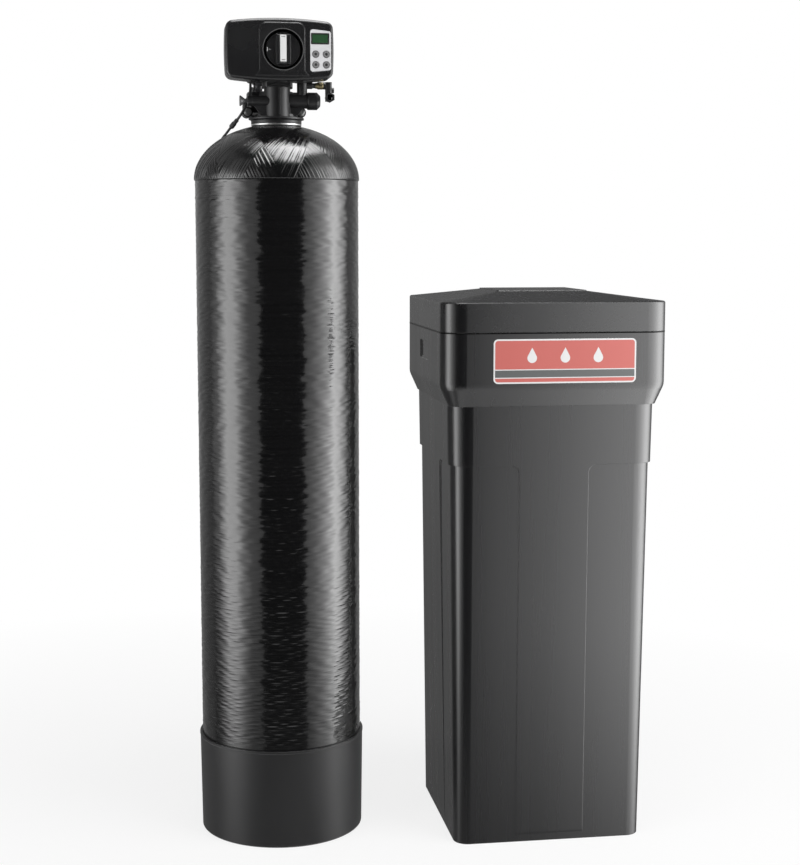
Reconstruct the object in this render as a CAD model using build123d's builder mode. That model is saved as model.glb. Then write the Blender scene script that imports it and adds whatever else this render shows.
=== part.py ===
from build123d import *
import math
import os

# Water softener: a wound resin tank with its control valve and head, and a square brine tank beside it.
# Millimetres. Origin at the middle of the resin tank's base, front of the head towards -Y, up is +Z.

os.makedirs("parts", exist_ok=True)

# Resin tank
tank_radius = 128.5
tank_bottom = 5
tank_bottom_rise = 60
seam_height = 1047
dome_radius = 130
dome_rise = 87
winding_wall = 3.5
liner_wall = 4
neck_radius = 38.6
neck_bore = 33.5
neck_top = 1134
boot_height = 157
boot_radius_low = 130.5
boot_radius_high = 132.5
riser_radius = 13.3

# Control valve
rim_top = 1144
block_low, block_top = 1189, 1204
block_middle, block_width = 1, 48
bore_x, bore_y = 0, -20
bore_radius = 14
bore_floor = 1152
seal_height = 4
spacer_height = 7
seal_count = 5
piston_radius = 9
piston_length = 28
piston_floor = 1154
rod_radius = 3
injector_y, injector_z = -20, 1169
blend_y, blend_z = -28, 1168
brine_x = 39
brine_valve_low, brine_valve_height = 1183, 20
brine_tube_z, brine_tube_end = 1193, 60
port_x, port_z = 27, 1168
port_end = 60
manifold_low, manifold_high = 1152, 1184
manifold_y = 24
manifold_size = (88, 48)
lug_face = -6
washer = 1.2
plug_low = 1200
lug_right = (38.5, 1152.6)
lug_left = (-45, 1152.6)
drain_x, drain_y = -28, 12
drain_low, drain_top = 1170, 1214
bracket_screw_places = [(-16, -39), (18, -39), (-18.5, -11), (20.5, -11)]

# Control head
cover_left, cover_right = -83, 82
cover_low, cover_high = 1194, 1288
corner_drop = 5.5
cover_front = -84
panel_proud = 1.2
cover_wall = 2.5
flange_back = -37.5
flange_front = -40
housing_back = -4
housing_left, housing_right = -74, 73
housing_low, housing_high = 1204, 1279
dial_x, dial_z = 4.7, 1241
recess_radius = 30
dial_radius = 26.3
gear_back, gear_front = -34, -40
gear_teeth = 56
pinion_teeth = 14
gear_module = 1
crank_radius = 8
motor_radius = 18
pinion_x = dial_x - gear_module * (gear_teeth + pinion_teeth) / 2
key_places = [(54.2, 1234.6), (70.4, 1234.6), (54.2, 1218.8), (70.4, 1218.8)]
key_radius = 5.3
display_place = (61, 1257.7)
board_front = -75
board_posts = [(62.3, 1211), (50, 1271.5), (72, 1271)]

# Brine tank
brine_centre_x, brine_centre_y = 413, -8
brine_rim = 356
brine_corner = 36
brine_floor_size = 303
brine_neck_size = 328
brine_neck_z = 700
flare_height = 30
collar_top = 814
lid_rim = 860
lid_peak = 873
recess_top = 607
panel_half = 55
brine_wall = 5

toward_front = (90, 0, 0)
toward_back = (-90, 0, 0)
toward_right = (0, 90, 0)
toward_left = (0, -90, 0)
from_base = (Align.CENTER, Align.CENTER, Align.MIN)
from_top = (Align.CENTER, Align.CENTER, Align.MAX)


# A closed outline for turning, from points of (distance along the plane's x, radius)
def turning_outline(points, plane):
    with BuildSketch(plane) as outline:
        with BuildLine():
            Polyline(*points, close=True)
        make_face()
    return outline.sketch


# A plane facing the front of the object, at a given y
def facing_front(y):
    return Plane.XZ.offset(-y)


# The plane that holds an axis along X through (y, z), and the one along Y through (x, z)
def along_x(y, z):
    return Plane(origin=(0, y, z), x_dir=(1, 0, 0), z_dir=(0, -1, 0))


def along_y(x, z):
    return Plane(origin=(x, 0, z), x_dir=(0, 1, 0), z_dir=(1, 0, 0))


# A plane whose own y runs up an axis through (x, y), for turning outlines of (radius, height)
def upright(x, y):
    return Plane(origin=(x, y, 0), x_dir=(1, 0, 0), z_dir=(0, -1, 0))


# Base boot: a moulded cup with a small lip, which the round tank bottom stands in
with BuildPart() as base_boot:
    with BuildSketch(Plane.XZ) as boot_profile:
        with BuildLine():
            Polyline(
                (0, 0), (boot_radius_low, 0), (boot_radius_high, boot_height - 4),
                (boot_radius_high + 0.6, boot_height - 3), (boot_radius_high + 0.6, boot_height),
                (tank_radius + 0.4, boot_height), (tank_radius + 0.4, 58), (boot_radius_low - 6, 20),
                (boot_radius_low - 6, tank_bottom), (0, tank_bottom), close=True,
            )
        make_face()
        fillet(boot_profile.vertices().group_by(Axis.Y)[0].sort_by(Axis.X)[-1], 3)
    revolve(axis=Axis.Z)
base_boot.part.label = "base_boot"
export_step(base_boot.part, "parts/base_boot.step")


# A closed vessel wall between two half-outlines, each a bottom bowl, a straight side and a dome
def vessel_wall(side, bottom, rise, dome, crown, wall, dome_step):
    mouth = neck_radius
    outer_turn = math.degrees(math.acos(mouth / dome))
    inner_dome, inner_crown = dome - wall, crown - wall
    inner_turn = math.degrees(math.acos(mouth / inner_dome))
    with BuildSketch(Plane.XZ) as wall_face:
        with BuildLine():
            bowl = EllipticalCenterArc((0, bottom + rise), side, rise, start_angle=-90, arc_size=90)
            top = EllipticalCenterArc((0, seam_height), dome, crown, start_angle=0, arc_size=outer_turn)
            inner_top = EllipticalCenterArc(
                (0, seam_height), inner_dome, inner_crown, start_angle=0, arc_size=inner_turn
            )
            inner_bowl = EllipticalCenterArc(
                (0, bottom + rise), side - wall, rise - wall, start_angle=-90, arc_size=90
            )
            Line(bowl @ 1, (side, seam_height - dome_step))
            Line((side, seam_height - dome_step), top @ 0)
            Line(top @ 1, inner_top @ 1)
            Line(inner_top @ 0, inner_bowl @ 1)
            Line(inner_bowl @ 0, bowl @ 0)
        make_face()
    return wall_face.sketch


# Wound shell: the dome winding ends in a small step at the seam
with BuildPart() as tank_winding:
    revolve(
        vessel_wall(tank_radius, tank_bottom, tank_bottom_rise, dome_radius, dome_rise, winding_wall, 1.5),
        axis=Axis.Z,
    )
tank_winding.part.label = "tank_winding"
export_step(tank_winding.part, "parts/tank_winding.step")

# Liner inside the winding
with BuildPart() as tank_liner:
    revolve(
        vessel_wall(
            tank_radius - winding_wall - 0.2, tank_bottom + winding_wall + 0.2,
            tank_bottom_rise - winding_wall - 0.2, dome_radius - winding_wall - 0.2,
            dome_rise - winding_wall - 0.2, liner_wall, 0.5,
        ),
        axis=Axis.Z,
    )
tank_liner.part.label = "tank_liner"
export_step(tank_liner.part, "parts/tank_liner.step")

# Neck insert with its pale rim, bored for the valve
with BuildPart() as tank_neck:
    revolve(
        turning_outline(
            [
                (neck_bore, 1096), (neck_radius - 0.2, 1096), (neck_radius - 0.2, neck_top - 3.5),
                (neck_radius + 0.8, neck_top - 2.5), (neck_radius + 0.8, neck_top), (neck_bore, neck_top),
            ],
            Plane.XZ,
        ),
        axis=Axis.Z,
    )
tank_neck.part.label = "tank_neck"
export_step(tank_neck.part, "parts/tank_neck.step")

# Resin bed, with the riser's place left free
bed_top = 760
bed_radius = tank_radius - winding_wall - liner_wall - 1
with BuildPart() as resin_bed:
    with BuildSketch(Plane.XZ):
        with BuildLine():
            bed_bowl = EllipticalCenterArc((0, 66), bed_radius, 50, start_angle=-90, arc_size=90)
            Line(bed_bowl @ 1, (bed_radius, bed_top))
            Line((bed_radius, bed_top), (0, bed_top))
            Line((0, bed_top), bed_bowl @ 0)
        make_face()
    revolve(axis=Axis.Z)
    with Locations((0, 0, 14)):
        Cylinder(32, 66, align=from_base, mode=Mode.SUBTRACT)
    with Locations((0, 0, 70)):
        Cylinder(riser_radius + 0.5, bed_top, align=from_base, mode=Mode.SUBTRACT)
resin_bed.part.label = "resin_bed"
export_step(resin_bed.part, "parts/resin_bed.step")

# Riser tube
riser_top = 1149
with BuildPart() as riser_tube:
    with Locations((0, 0, 60)):
        Cylinder(riser_radius, riser_top - 60, align=from_base)
        Cylinder(riser_radius - 2.5, riser_top - 60, align=from_base, mode=Mode.SUBTRACT)
riser_tube.part.label = "riser_tube"
export_step(riser_tube.part, "parts/riser_tube.step")

# Lower basket: a slotted cone that draws the water in at the bottom
with BuildPart() as lower_basket:
    revolve(
        turning_outline(
            [
                (riser_radius + 0.1, 78), (riser_radius + 3, 78), (riser_radius + 4, 66), (28, 30), (28, 18),
                (0, 18), (0, 21), (25, 21), (25, 31), (riser_radius + 0.1, 59),
            ],
            Plane.XZ,
        ),
        axis=Axis.Z,
    )
    with PolarLocations(26, 16):
        with Locations((0, 0, 25.5)):
            Box(8, 1.2, 7, mode=Mode.SUBTRACT)
lower_basket.part.label = "lower_basket"
export_step(lower_basket.part, "parts/lower_basket.step")

# Upper basket: hangs from the adapter round the riser
with BuildPart() as upper_basket:
    revolve(
        turning_outline(
            [
                (riser_radius + 0.3, 1062), (22, 1062), (23.5, 1066), (23.5, 1107), (23.95, 1108),
                (23.95, 1122), (21.5, 1122), (21.5, 1067), (riser_radius + 0.3, 1065),
            ],
            Plane.XZ,
        ),
        axis=Axis.Z,
    )
    with PolarLocations(22.5, 16):
        with Locations((0, 0, 1088)):
            Box(5, 1.2, 36, mode=Mode.SUBTRACT)
upper_basket.part.label = "upper_basket"
export_step(upper_basket.part, "parts/upper_basket.step")

# Adapter that screws into the neck, with the flange rim seen above the tank
with BuildPart() as tank_adapter:
    revolve(
        turning_outline(
            [
                (24, 1106), (neck_bore - 0.2, 1106), (neck_bore - 0.2, neck_top), (39.2, neck_top),
                (39.6, neck_top + 0.6), (39.6, 1139), (41, 1140.4), (43.4, 1141), (43.4, 1143.4),
                (42.8, rim_top), (24, rim_top),
            ],
            Plane.XZ,
        ),
        axis=Axis.Z,
    )
    with Locations((0, 0, neck_top)):
        Cylinder(37.8, 1.6, align=from_base, mode=Mode.SUBTRACT)
        Cylinder(34.6, 1.6, align=from_base)
        Cylinder(24, 1.6, align=from_base, mode=Mode.SUBTRACT)
tank_adapter.part.label = "tank_adapter"
export_step(tank_adapter.part, "parts/tank_adapter.step")

# Valve body: a piston column in front, a hub over the riser, a manifold with two ports behind,
# an injector boss on the right and a blending boss on the left
with BuildPart() as valve_body:
    with Locations((0, 0, rim_top)):
        Cylinder(34, 5, align=from_base)
        Cylinder(26, 40, align=from_base)
    with Locations((bore_x, bore_y, rim_top)):
        Cylinder(20.5, block_low - rim_top, align=from_base)
    with BuildSketch(Plane.XY.offset(rim_top + 4)):
        with Locations((3, -4)):
            RectangleRounded(58, 40, 8)
    extrude(amount=10, taper=25)
    with BuildSketch(Plane.XY.offset(block_low)):
        with Locations((1, -20)):
            RectangleRounded(42, 46, 4)
    extrude(amount=block_top - block_low)
    with BuildSketch(Plane.XY.offset(block_low)):
        with Locations((1, -6)):
            RectangleRounded(block_width, 20, 3)
    extrude(amount=block_top - block_low)
    with BuildSketch(Plane.XY.offset(manifold_low)):
        with Locations((0, manifold_y)):
            RectangleRounded(*manifold_size, 8)
    extrude(amount=manifold_high - manifold_low)
    with Locations((bore_x + 2, bore_y - 20.6, rim_top + 4)):
        Box(2, 2.4, 40, align=from_base)
    # Injector boss, brine valve seat and blending boss
    with Locations((0, injector_y, injector_z)):
        Cylinder(11.5, 47, rotation=toward_right, align=from_base)
    with Locations((brine_x, injector_y, injector_z)):
        Cylinder(8, brine_valve_low - injector_z, align=from_base)
    with Locations((0, blend_y, blend_z)):
        Cylinder(8, 39.5, rotation=toward_left, align=from_base)
    # Gussets under both bosses
    with BuildSketch(facing_front(blend_y + 3)):
        with BuildLine():
            Polyline((-38, 1162), (-14, 1162), (-14, 1146), (-26, 1146), close=True)
        make_face()
    extrude(amount=6)
    with BuildSketch(facing_front(injector_y + 3)):
        with BuildLine():
            Polyline((42, 1160), (14, 1160), (14, 1146), (30, 1146), close=True)
        make_face()
    extrude(amount=6)
    # Screw lugs, ports
    with Locations((lug_right[0], lug_face, lug_right[1]), (lug_left[0], lug_face, lug_left[1])):
        Cylinder(8, 34, rotation=toward_back, align=from_base)
    with Locations((-port_x, 40, port_z), (port_x, 40, port_z)):
        Cylinder(16.5, port_end - 40, rotation=toward_back, align=from_base)
    # Arch under the front of the block
    with BuildSketch(facing_front(-40.4)):
        with BuildLine():
            ThreePointArc((-16, block_low), (1, block_low + 4), (18, block_low))
            Line((18, block_low), (-16, block_low))
        make_face()
    extrude(amount=8, mode=Mode.SUBTRACT)
    # Bores: piston, riser seat, injector, brine valve, blending stem, ports, lug threads
    with Locations((bore_x, bore_y, bore_floor)):
        Cylinder(bore_radius, block_top - bore_floor, align=from_base, mode=Mode.SUBTRACT)
    with Locations((0, 0, rim_top)):
        Cylinder(riser_radius + 0.2, 5.5, align=from_base, mode=Mode.SUBTRACT)
        Cylinder(5, 22, align=from_base, mode=Mode.SUBTRACT)
    with Locations((20, injector_y, injector_z)):
        Cylinder(7, 27, rotation=toward_right, align=from_base, mode=Mode.SUBTRACT)
    with Locations((10, injector_y, injector_z)):
        Cylinder(2.2, 12, rotation=toward_right, align=from_base, mode=Mode.SUBTRACT)
    with Locations((brine_x, injector_y, injector_z)):
        Cylinder(3, brine_valve_low - injector_z, align=from_base, mode=Mode.SUBTRACT)
    with Locations((-39.5, blend_y, blend_z)):
        Cylinder(4, 14, rotation=toward_right, align=from_base, mode=Mode.SUBTRACT)
    with Locations((-port_x, port_end, port_z), (port_x, port_end, port_z)):
        Cylinder(12, 46, rotation=toward_front, align=from_base, mode=Mode.SUBTRACT)
    with Locations((lug_right[0], lug_face, lug_right[1]), (lug_left[0], lug_face, lug_left[1])):
        Cylinder(2.6, 20, rotation=toward_back, align=from_base, mode=Mode.SUBTRACT)
    with Locations(*[(x, y, block_top) for x, y in bracket_screw_places]):
        Cylinder(2.1, 12, align=from_top, mode=Mode.SUBTRACT)
    with Locations((drain_x, drain_y, manifold_high)):
        Cylinder(4, manifold_high - drain_low, align=from_top, mode=Mode.SUBTRACT)
valve_body.part.label = "valve_body"
export_step(valve_body.part, "parts/valve_body.step")

# Screws in the two lugs: hexagon heads with washers
with BuildPart() as lug_screws:
    for lug_x, lug_z in (lug_right, lug_left):
        with Locations((lug_x, lug_face, lug_z)):
            Cylinder(2.5, 18, rotation=toward_back, align=from_base)
            Cylinder(6, washer, rotation=toward_front, align=from_base)
        with BuildSketch(facing_front(lug_face - washer)):
            with Locations((lug_x, lug_z)):
                RegularPolygon(4.6, 6)
        extrude(amount=4)
lug_screws.part.label = "lug_screws"
export_step(lug_screws.part, "parts/lug_screws.step")

# Rubber seals: five in the piston bore and one under the adapter
seal_levels = [bore_floor + index * (seal_height + spacer_height) for index in range(seal_count)]
with BuildPart() as rubber_seals:
    for level in seal_levels:
        revolve(
            turning_outline(
                [
                    (piston_radius + 0.05, level + 1), (piston_radius + 0.8, level),
                    (bore_radius - 0.05, level), (bore_radius - 0.05, level + seal_height),
                    (piston_radius + 0.8, level + seal_height),
                    (piston_radius + 0.05, level + seal_height - 1),
                ],
                upright(bore_x, bore_y),
            ),
            axis=Axis((bore_x, bore_y, 0), (0, 0, 1)),
        )
    with Locations((0, 0, neck_top + 0.8)):
        Torus(36.2, 0.8)
rubber_seals.part.label = "rubber_seals"
export_step(rubber_seals.part, "parts/rubber_seals.step")

# Spacers between the seals, with windows that let the water through
with BuildPart() as seal_spacers:
    for level in seal_levels[:-1]:
        with Locations((bore_x, bore_y, level + seal_height)):
            Cylinder(bore_radius - 0.05, spacer_height, align=from_base)
            Cylinder(bore_radius - 3, spacer_height, align=from_base, mode=Mode.SUBTRACT)
        with Locations((bore_x, bore_y, level + seal_height + spacer_height / 2)):
            with PolarLocations(bore_radius - 1.5, 8):
                Box(6, 5, spacer_height - 3, mode=Mode.SUBTRACT)
seal_spacers.part.label = "seal_spacers"
export_step(seal_spacers.part, "parts/seal_spacers.step")

# Piston: two lands with a waist
piston_top = piston_floor + piston_length
with BuildPart() as valve_piston:
    revolve(
        turning_outline(
            [
                (0, piston_floor), (piston_radius - 0.6, piston_floor), (piston_radius, piston_floor + 0.6),
                (piston_radius, piston_floor + 9), (piston_radius - 3, piston_floor + 12),
                (piston_radius - 3, piston_top - 12), (piston_radius, piston_top - 9),
                (piston_radius, piston_top - 0.6), (piston_radius - 0.6, piston_top), (0, piston_top),
            ],
            upright(bore_x, bore_y),
        ),
        axis=Axis((bore_x, bore_y, 0), (0, 0, 1)),
    )
valve_piston.part.label = "valve_piston"
export_step(valve_piston.part, "parts/valve_piston.step")

# Piston rod with its slotted yoke, which the crank pin drives
yoke_z = dial_z - crank_radius
yoke_front = gear_back + 7
slot_half = crank_radius + 3.4
with BuildPart() as piston_rod:
    with Locations((bore_x, bore_y, piston_top)):
        Cylinder(rod_radius, yoke_z - 4 - piston_top, align=from_base)
    with BuildSketch(facing_front(yoke_front + 4)):
        with Locations((dial_x, yoke_z)):
            RectangleRounded(2 * slot_half + 6, 13, 3)
            SlotOverall(2 * slot_half, 6.8, mode=Mode.SUBTRACT)
    extrude(amount=4)
    with Locations((bore_x, yoke_front, yoke_z - 8)):
        Box(9, 10, 5, align=(Align.CENTER, Align.MIN, Align.CENTER))
piston_rod.part.label = "piston_rod"
export_step(piston_rod.part, "parts/piston_rod.step")

# End plug: a threaded plug with a hexagon, which closes the bore and guides the rod
with BuildPart() as end_plug:
    with Locations((bore_x, bore_y, plug_low)):
        Cylinder(bore_radius - 0.1, block_top - plug_low, align=from_base)
    with BuildSketch(Plane.XY.offset(block_top)):
        with Locations((bore_x, bore_y)):
            RegularPolygon(15.2, 6)
    extrude(amount=6)
    chamfer(end_plug.faces().sort_by(Axis.Z)[-1].edges(), 0.8)
    with Locations((bore_x, bore_y, plug_low)):
        Cylinder(rod_radius + 0.05, 10, align=from_base, mode=Mode.SUBTRACT)
end_plug.part.label = "end_plug"
export_step(end_plug.part, "parts/end_plug.step")

# Injector nozzle and throat inside the boss, and the large cap that closes it
with BuildPart() as injector_throat:
    revolve(
        turning_outline(
            [(21, 1.2), (21, 6.6), (25, 6.6), (27, 4.5), (38, 4.5), (38, 6.6), (41, 6.6), (41, 2.6)],
            along_x(injector_y, injector_z),
        ),
        axis=Axis((0, injector_y, injector_z), (1, 0, 0)),
    )
injector_throat.part.label = "injector_throat"
export_step(injector_throat.part, "parts/injector_throat.step")

with BuildPart() as injector_cap:
    revolve(
        turning_outline(
            [(43, 0), (43, 6.8), (47, 6.8), (47, 12.6), (48, 13.5), (62, 13.5), (67, 8.5), (67, 0)],
            along_x(injector_y, injector_z),
        ),
        axis=Axis((0, injector_y, injector_z), (1, 0, 0)),
    )
    with BuildSketch(Plane.YZ.offset(67)):
        with Locations((injector_y, injector_z)):
            SlotOverall(12, 2.4)
    extrude(amount=-2, mode=Mode.SUBTRACT)
injector_cap.part.label = "injector_cap"
export_step(injector_cap.part, "parts/injector_cap.step")

# Brine valve body with the side tube, and the stem that the cam presses
with BuildPart() as brine_valve:
    with Locations((brine_x, injector_y, brine_valve_low)):
        Cylinder(8, brine_valve_height, align=from_base)
    with Locations((brine_x, injector_y, brine_tube_z)):
        Cylinder(4, brine_tube_end - brine_x, rotation=toward_right, align=from_base)
    with Locations((brine_x + 5, injector_y, brine_tube_z)):
        Cylinder(5.2, 11, rotation=toward_right, align=from_base)
    with Locations((brine_x, injector_y, brine_valve_low)):
        Cylinder(3, brine_valve_height, align=from_base, mode=Mode.SUBTRACT)
    with Locations((brine_x, injector_y, brine_tube_z)):
        Cylinder(2, brine_tube_end - brine_x, rotation=toward_right, align=from_base, mode=Mode.SUBTRACT)
brine_valve.part.label = "brine_valve"
export_step(brine_valve.part, "parts/brine_valve.step")

finger_low = 1219
with BuildPart() as brine_stem:
    with Locations((brine_x, injector_y, 1189)):
        Cylinder(2.95, finger_low - 1189 + 1, align=from_base)
    with BuildSketch(Plane.XY.offset(finger_low)):
        with Locations((brine_x, injector_y)):
            Circle(5)
        with Locations(((22 + brine_x) / 2, -28)):
            Rectangle(brine_x - 22, 6)
        with Locations((brine_x - 2, -25)):
            Rectangle(6, 10)
    extrude(amount=3)
brine_stem.part.label = "brine_stem"
export_step(brine_stem.part, "parts/brine_stem.step")

# Brass fitting, elbow and the nut that takes the brine line
with BuildPart() as brass_fitting:
    revolve(
        turning_outline(
            [
                (60, 2), (60, 4.6), (63, 4.6), (63, 5.2), (64, 5.75), (71, 5.75), (72, 5.2), (72, 2),
            ],
            along_x(injector_y, brine_tube_z),
        ),
        axis=Axis((0, injector_y, brine_tube_z), (1, 0, 0)),
    )
brass_fitting.part.label = "brass_fitting"
export_step(brass_fitting.part, "parts/brass_fitting.step")

elbow_x, elbow_z, elbow_face = 81, 1174, -31
with BuildPart() as brine_elbow:
    with Locations((72, injector_y, brine_tube_z)):
        Cylinder(5.6, 7, rotation=toward_right, align=from_base)
    with BuildSketch(Plane.XY.offset(elbow_z - 5)):
        with Locations((elbow_x - 0.5, injector_y)):
            RectangleRounded(10, 12, 3.5)
    extrude(amount=brine_tube_z - elbow_z + 10.5)
    with Locations((elbow_x + 4, injector_y, elbow_z + 12)):
        Cylinder(4.2, 4, rotation=toward_right, align=from_base)
    with Locations((elbow_x, injector_y, elbow_z)):
        Cylinder(6.2, injector_y - elbow_face, rotation=toward_front, align=from_base)
        Cylinder(4.85, injector_y - elbow_face, rotation=toward_front, align=from_base, mode=Mode.SUBTRACT)
    with Locations((elbow_x - 1, injector_y, elbow_z)):
        Cylinder(2.5, brine_tube_z - elbow_z, align=from_base, mode=Mode.SUBTRACT)
    with Locations((72, injector_y, brine_tube_z)):
        Cylinder(2.5, 8, rotation=toward_right, align=from_base, mode=Mode.SUBTRACT)
brine_elbow.part.label = "brine_elbow"
export_step(brine_elbow.part, "parts/brine_elbow.step")

with BuildPart() as elbow_nut:
    with BuildSketch(facing_front(elbow_face)):
        with Locations((elbow_x, elbow_z)):
            RegularPolygon(8, 6, rotation=30)
            Circle(4.85, mode=Mode.SUBTRACT)
    extrude(amount=9)
    chamfer(elbow_nut.faces().sort_by(Axis.Y)[0].outer_wire().edges(), 0.8)
elbow_nut.part.label = "elbow_nut"
export_step(elbow_nut.part, "parts/elbow_nut.step")

# Blending valve: end disc screwed to the left boss, and the flared knob that turns in it
with BuildPart() as blend_gland:
    revolve(
        turning_outline(
            [(-47, 2.1), (-47, 7.2), (-46.2, 8), (-39.5, 8), (-39.5, 2.1)], along_x(blend_y, blend_z),
        ),
        axis=Axis((0, blend_y, blend_z), (1, 0, 0)),
    )
blend_gland.part.label = "blend_gland"
export_step(blend_gland.part, "parts/blend_gland.step")

with BuildPart() as blend_knob:
    revolve(
        turning_outline(
            [
                (-59, 0), (-59, 8), (-57.6, 8.2), (-50.6, 3.2), (-49, 2.9), (-47.4, 2.9), (-47.4, 2),
                (-30, 2), (-27, 0),
            ],
            along_x(blend_y, blend_z),
        ),
        axis=Axis((0, blend_y, blend_z), (1, 0, 0)),
    )
    with BuildSketch(Plane.YZ.offset(-59)):
        with Locations((blend_y, blend_z)):
            SlotOverall(11, 1.6)
    extrude(amount=1.6, mode=Mode.SUBTRACT)
blend_knob.part.label = "blend_knob"
export_step(blend_knob.part, "parts/blend_knob.step")

# Drain fitting behind the head, with a push-in socket on top
with BuildPart() as drain_fitting:
    with BuildSketch(Plane.XY.offset(manifold_high)):
        with Locations((drain_x, drain_y)):
            RegularPolygon(7.5, 6)
    extrude(amount=6)
    revolve(
        turning_outline(
            [
                (0, drain_low), (3.9, drain_low), (3.9, manifold_high + 2), (5.5, 1190), (5.5, 1194),
                (9, 1197), (9, drain_top), (0, drain_top),
            ],
            upright(drain_x, drain_y),
        ),
        axis=Axis((drain_x, drain_y, 0), (0, 0, 1)),
    )
    with Locations((drain_x, drain_y, drain_low)):
        Cylinder(2.5, drain_top - drain_low, align=from_base, mode=Mode.SUBTRACT)
    with Locations((drain_x, drain_y, drain_top - 14)):
        Cylinder(6.4, 14, align=from_base, mode=Mode.SUBTRACT)
drain_fitting.part.label = "drain_fitting"
export_step(drain_fitting.part, "parts/drain_fitting.step")

# Flow meter on the outlet: body with two bearing bars, turbine, sensor cap
meter_front, meter_back = port_end, 100
meter_bars = (68, 90)
with BuildPart() as meter_body:
    revolve(
        turning_outline(
            [
                (meter_front, 12), (meter_front, 20), (meter_front + 4, 20), (meter_front + 5, 18),
                (meter_back - 5, 18), (meter_back - 4, 20), (meter_back, 20), (meter_back, 12),
            ],
            along_y(-port_x, port_z),
        ),
        axis=Axis((-port_x, 0, port_z), (0, 1, 0)),
    )
    for bar_y in meter_bars:
        with Locations((-port_x, bar_y, port_z)):
            Box(26, 2, 3)
            Cylinder(3, 2, rotation=toward_back)
            Cylinder(1.05, 4, rotation=toward_back, mode=Mode.SUBTRACT)
    with Locations((-port_x, 80, port_z + 17)):
        Cylinder(7, 4, align=from_base)
meter_body.part.label = "meter_body"
export_step(meter_body.part, "parts/meter_body.step")

blade_count, blade_pitch = 6, 35
with BuildPart() as meter_turbine:
    with Locations((-port_x, 80, port_z)):
        Cylinder(3, 14, rotation=toward_back)
        Cylinder(1, 24, rotation=toward_back)
    for blade in range(blade_count):
        turn = 2 * math.pi * blade / blade_count
        outward = Vector(math.cos(turn), 0, math.sin(turn))
        root = Vector(-port_x, 80, port_z) + outward * 2
        with BuildSketch(Plane(origin=root, x_dir=(0, 1, 0), z_dir=outward)):
            Rectangle(10, 1.2, rotation=blade_pitch)
        extrude(amount=9)
meter_turbine.part.label = "meter_turbine"
export_step(meter_turbine.part, "parts/meter_turbine.step")

# Sensor cap on the meter, and its cable from the grommet under the head
cable_radius = 1.5
with BuildPart() as meter_cap:
    with Locations((-port_x, 80, port_z + 21)):
        Cylinder(9, 8, align=from_base)
    fillet(meter_cap.faces().sort_by(Axis.Z)[-1].edges(), 1.5)
    with Locations((-port_x, 72, port_z + 25)):
        Cylinder(2.6, 6, rotation=toward_front, align=from_base)
meter_cap.part.label = "meter_cap"
export_step(meter_cap.part, "parts/meter_cap.step")

grommet_x, grommet_y, grommet_low = -38, -15, 1196
cable_points = [
    (-35, grommet_y, grommet_low), (-35, grommet_y, 1190), (-35.5, -12.5, 1184.5), (-37, -5, 1184),
    (-38, 3, 1189), (-37.5, 14, 1191.5), (-35, 30, 1192.5), (-30, 46, 1192.8), (-port_x, 58, 1193),
    (-port_x, 66, 1193),
]


# Arc radii for a route: 0.45 of the shorter run, over the tangent of half the turn
def route_radii(points):
    radii = []
    for before, here, after in zip(points, points[1:], points[2:]):
        run_in = Vector(*here) - Vector(*before)
        run_out = Vector(*after) - Vector(*here)
        half_turn = math.radians(run_in.get_angle(run_out)) / 2
        radii.append(0.45 * min(run_in.length, run_out.length) / math.tan(half_turn))
    return radii


# A round tube along straight runs joined by arcs, built from its route
def route_tube(points, radius):
    path = FilletPolyline(*points, radius=route_radii(points))
    start = Plane(origin=points[0], z_dir=path % 0)
    with BuildSketch(start) as section:
        Circle(radius)
    return sweep(section.sketch, path=path), path.length


meter_cable_tube, meter_cable_length = route_tube(cable_points, cable_radius)
with BuildPart() as meter_cable:
    add(meter_cable_tube)
meter_cable.part.label = "meter_cable"
export_step(meter_cable.part, "parts/meter_cable.step")

# Threaded pipe ends for the house pipes: one behind the meter, one on the inlet port
pipe_radius = 16.7
pipe_end = 128
with BuildPart() as pipe_ends:
    for pipe_x, pipe_start in ((-port_x, meter_back), (port_x, port_end)):
        revolve(
            turning_outline(
                [
                    (pipe_start, 11), (pipe_start, 20), (pipe_start + 3, 20), (pipe_start + 3, 17.5),
                    (pipe_end - 22, pipe_radius), (pipe_end - 1, pipe_radius), (pipe_end, pipe_radius - 1),
                    (pipe_end, 11),
                ],
                along_y(pipe_x, port_z),
            ),
            axis=Axis((pipe_x, 0, port_z), (0, 1, 0)),
        )
pipe_ends.part.label = "pipe_ends"
export_step(pipe_ends.part, "parts/pipe_ends.step")


# Outline of the head seen from the front: four bowed sides with rounded corners, drawn inset
def head_outline(plane, inset, corner):
    left, right = cover_left + inset, cover_right - inset
    low, high = cover_low + inset, cover_high - inset
    middle_x, middle_z = (left + right) / 2, (low + high) / 2
    with BuildSketch(plane) as outline:
        with BuildLine():
            low_left = (left + 1.5, low + corner_drop)
            low_right = (right - 1.5, low + corner_drop)
            high_right = (right - 1.5, high - corner_drop)
            high_left = (left + 1.5, high - corner_drop)
            ThreePointArc(low_left, (middle_x, low), low_right)
            ThreePointArc(low_right, (right, middle_z), high_right)
            ThreePointArc(high_right, (middle_x, high), high_left)
            ThreePointArc(high_left, (left, middle_z), low_left)
        make_face()
        fillet(outline.vertices(), corner)
    return outline.sketch


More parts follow.
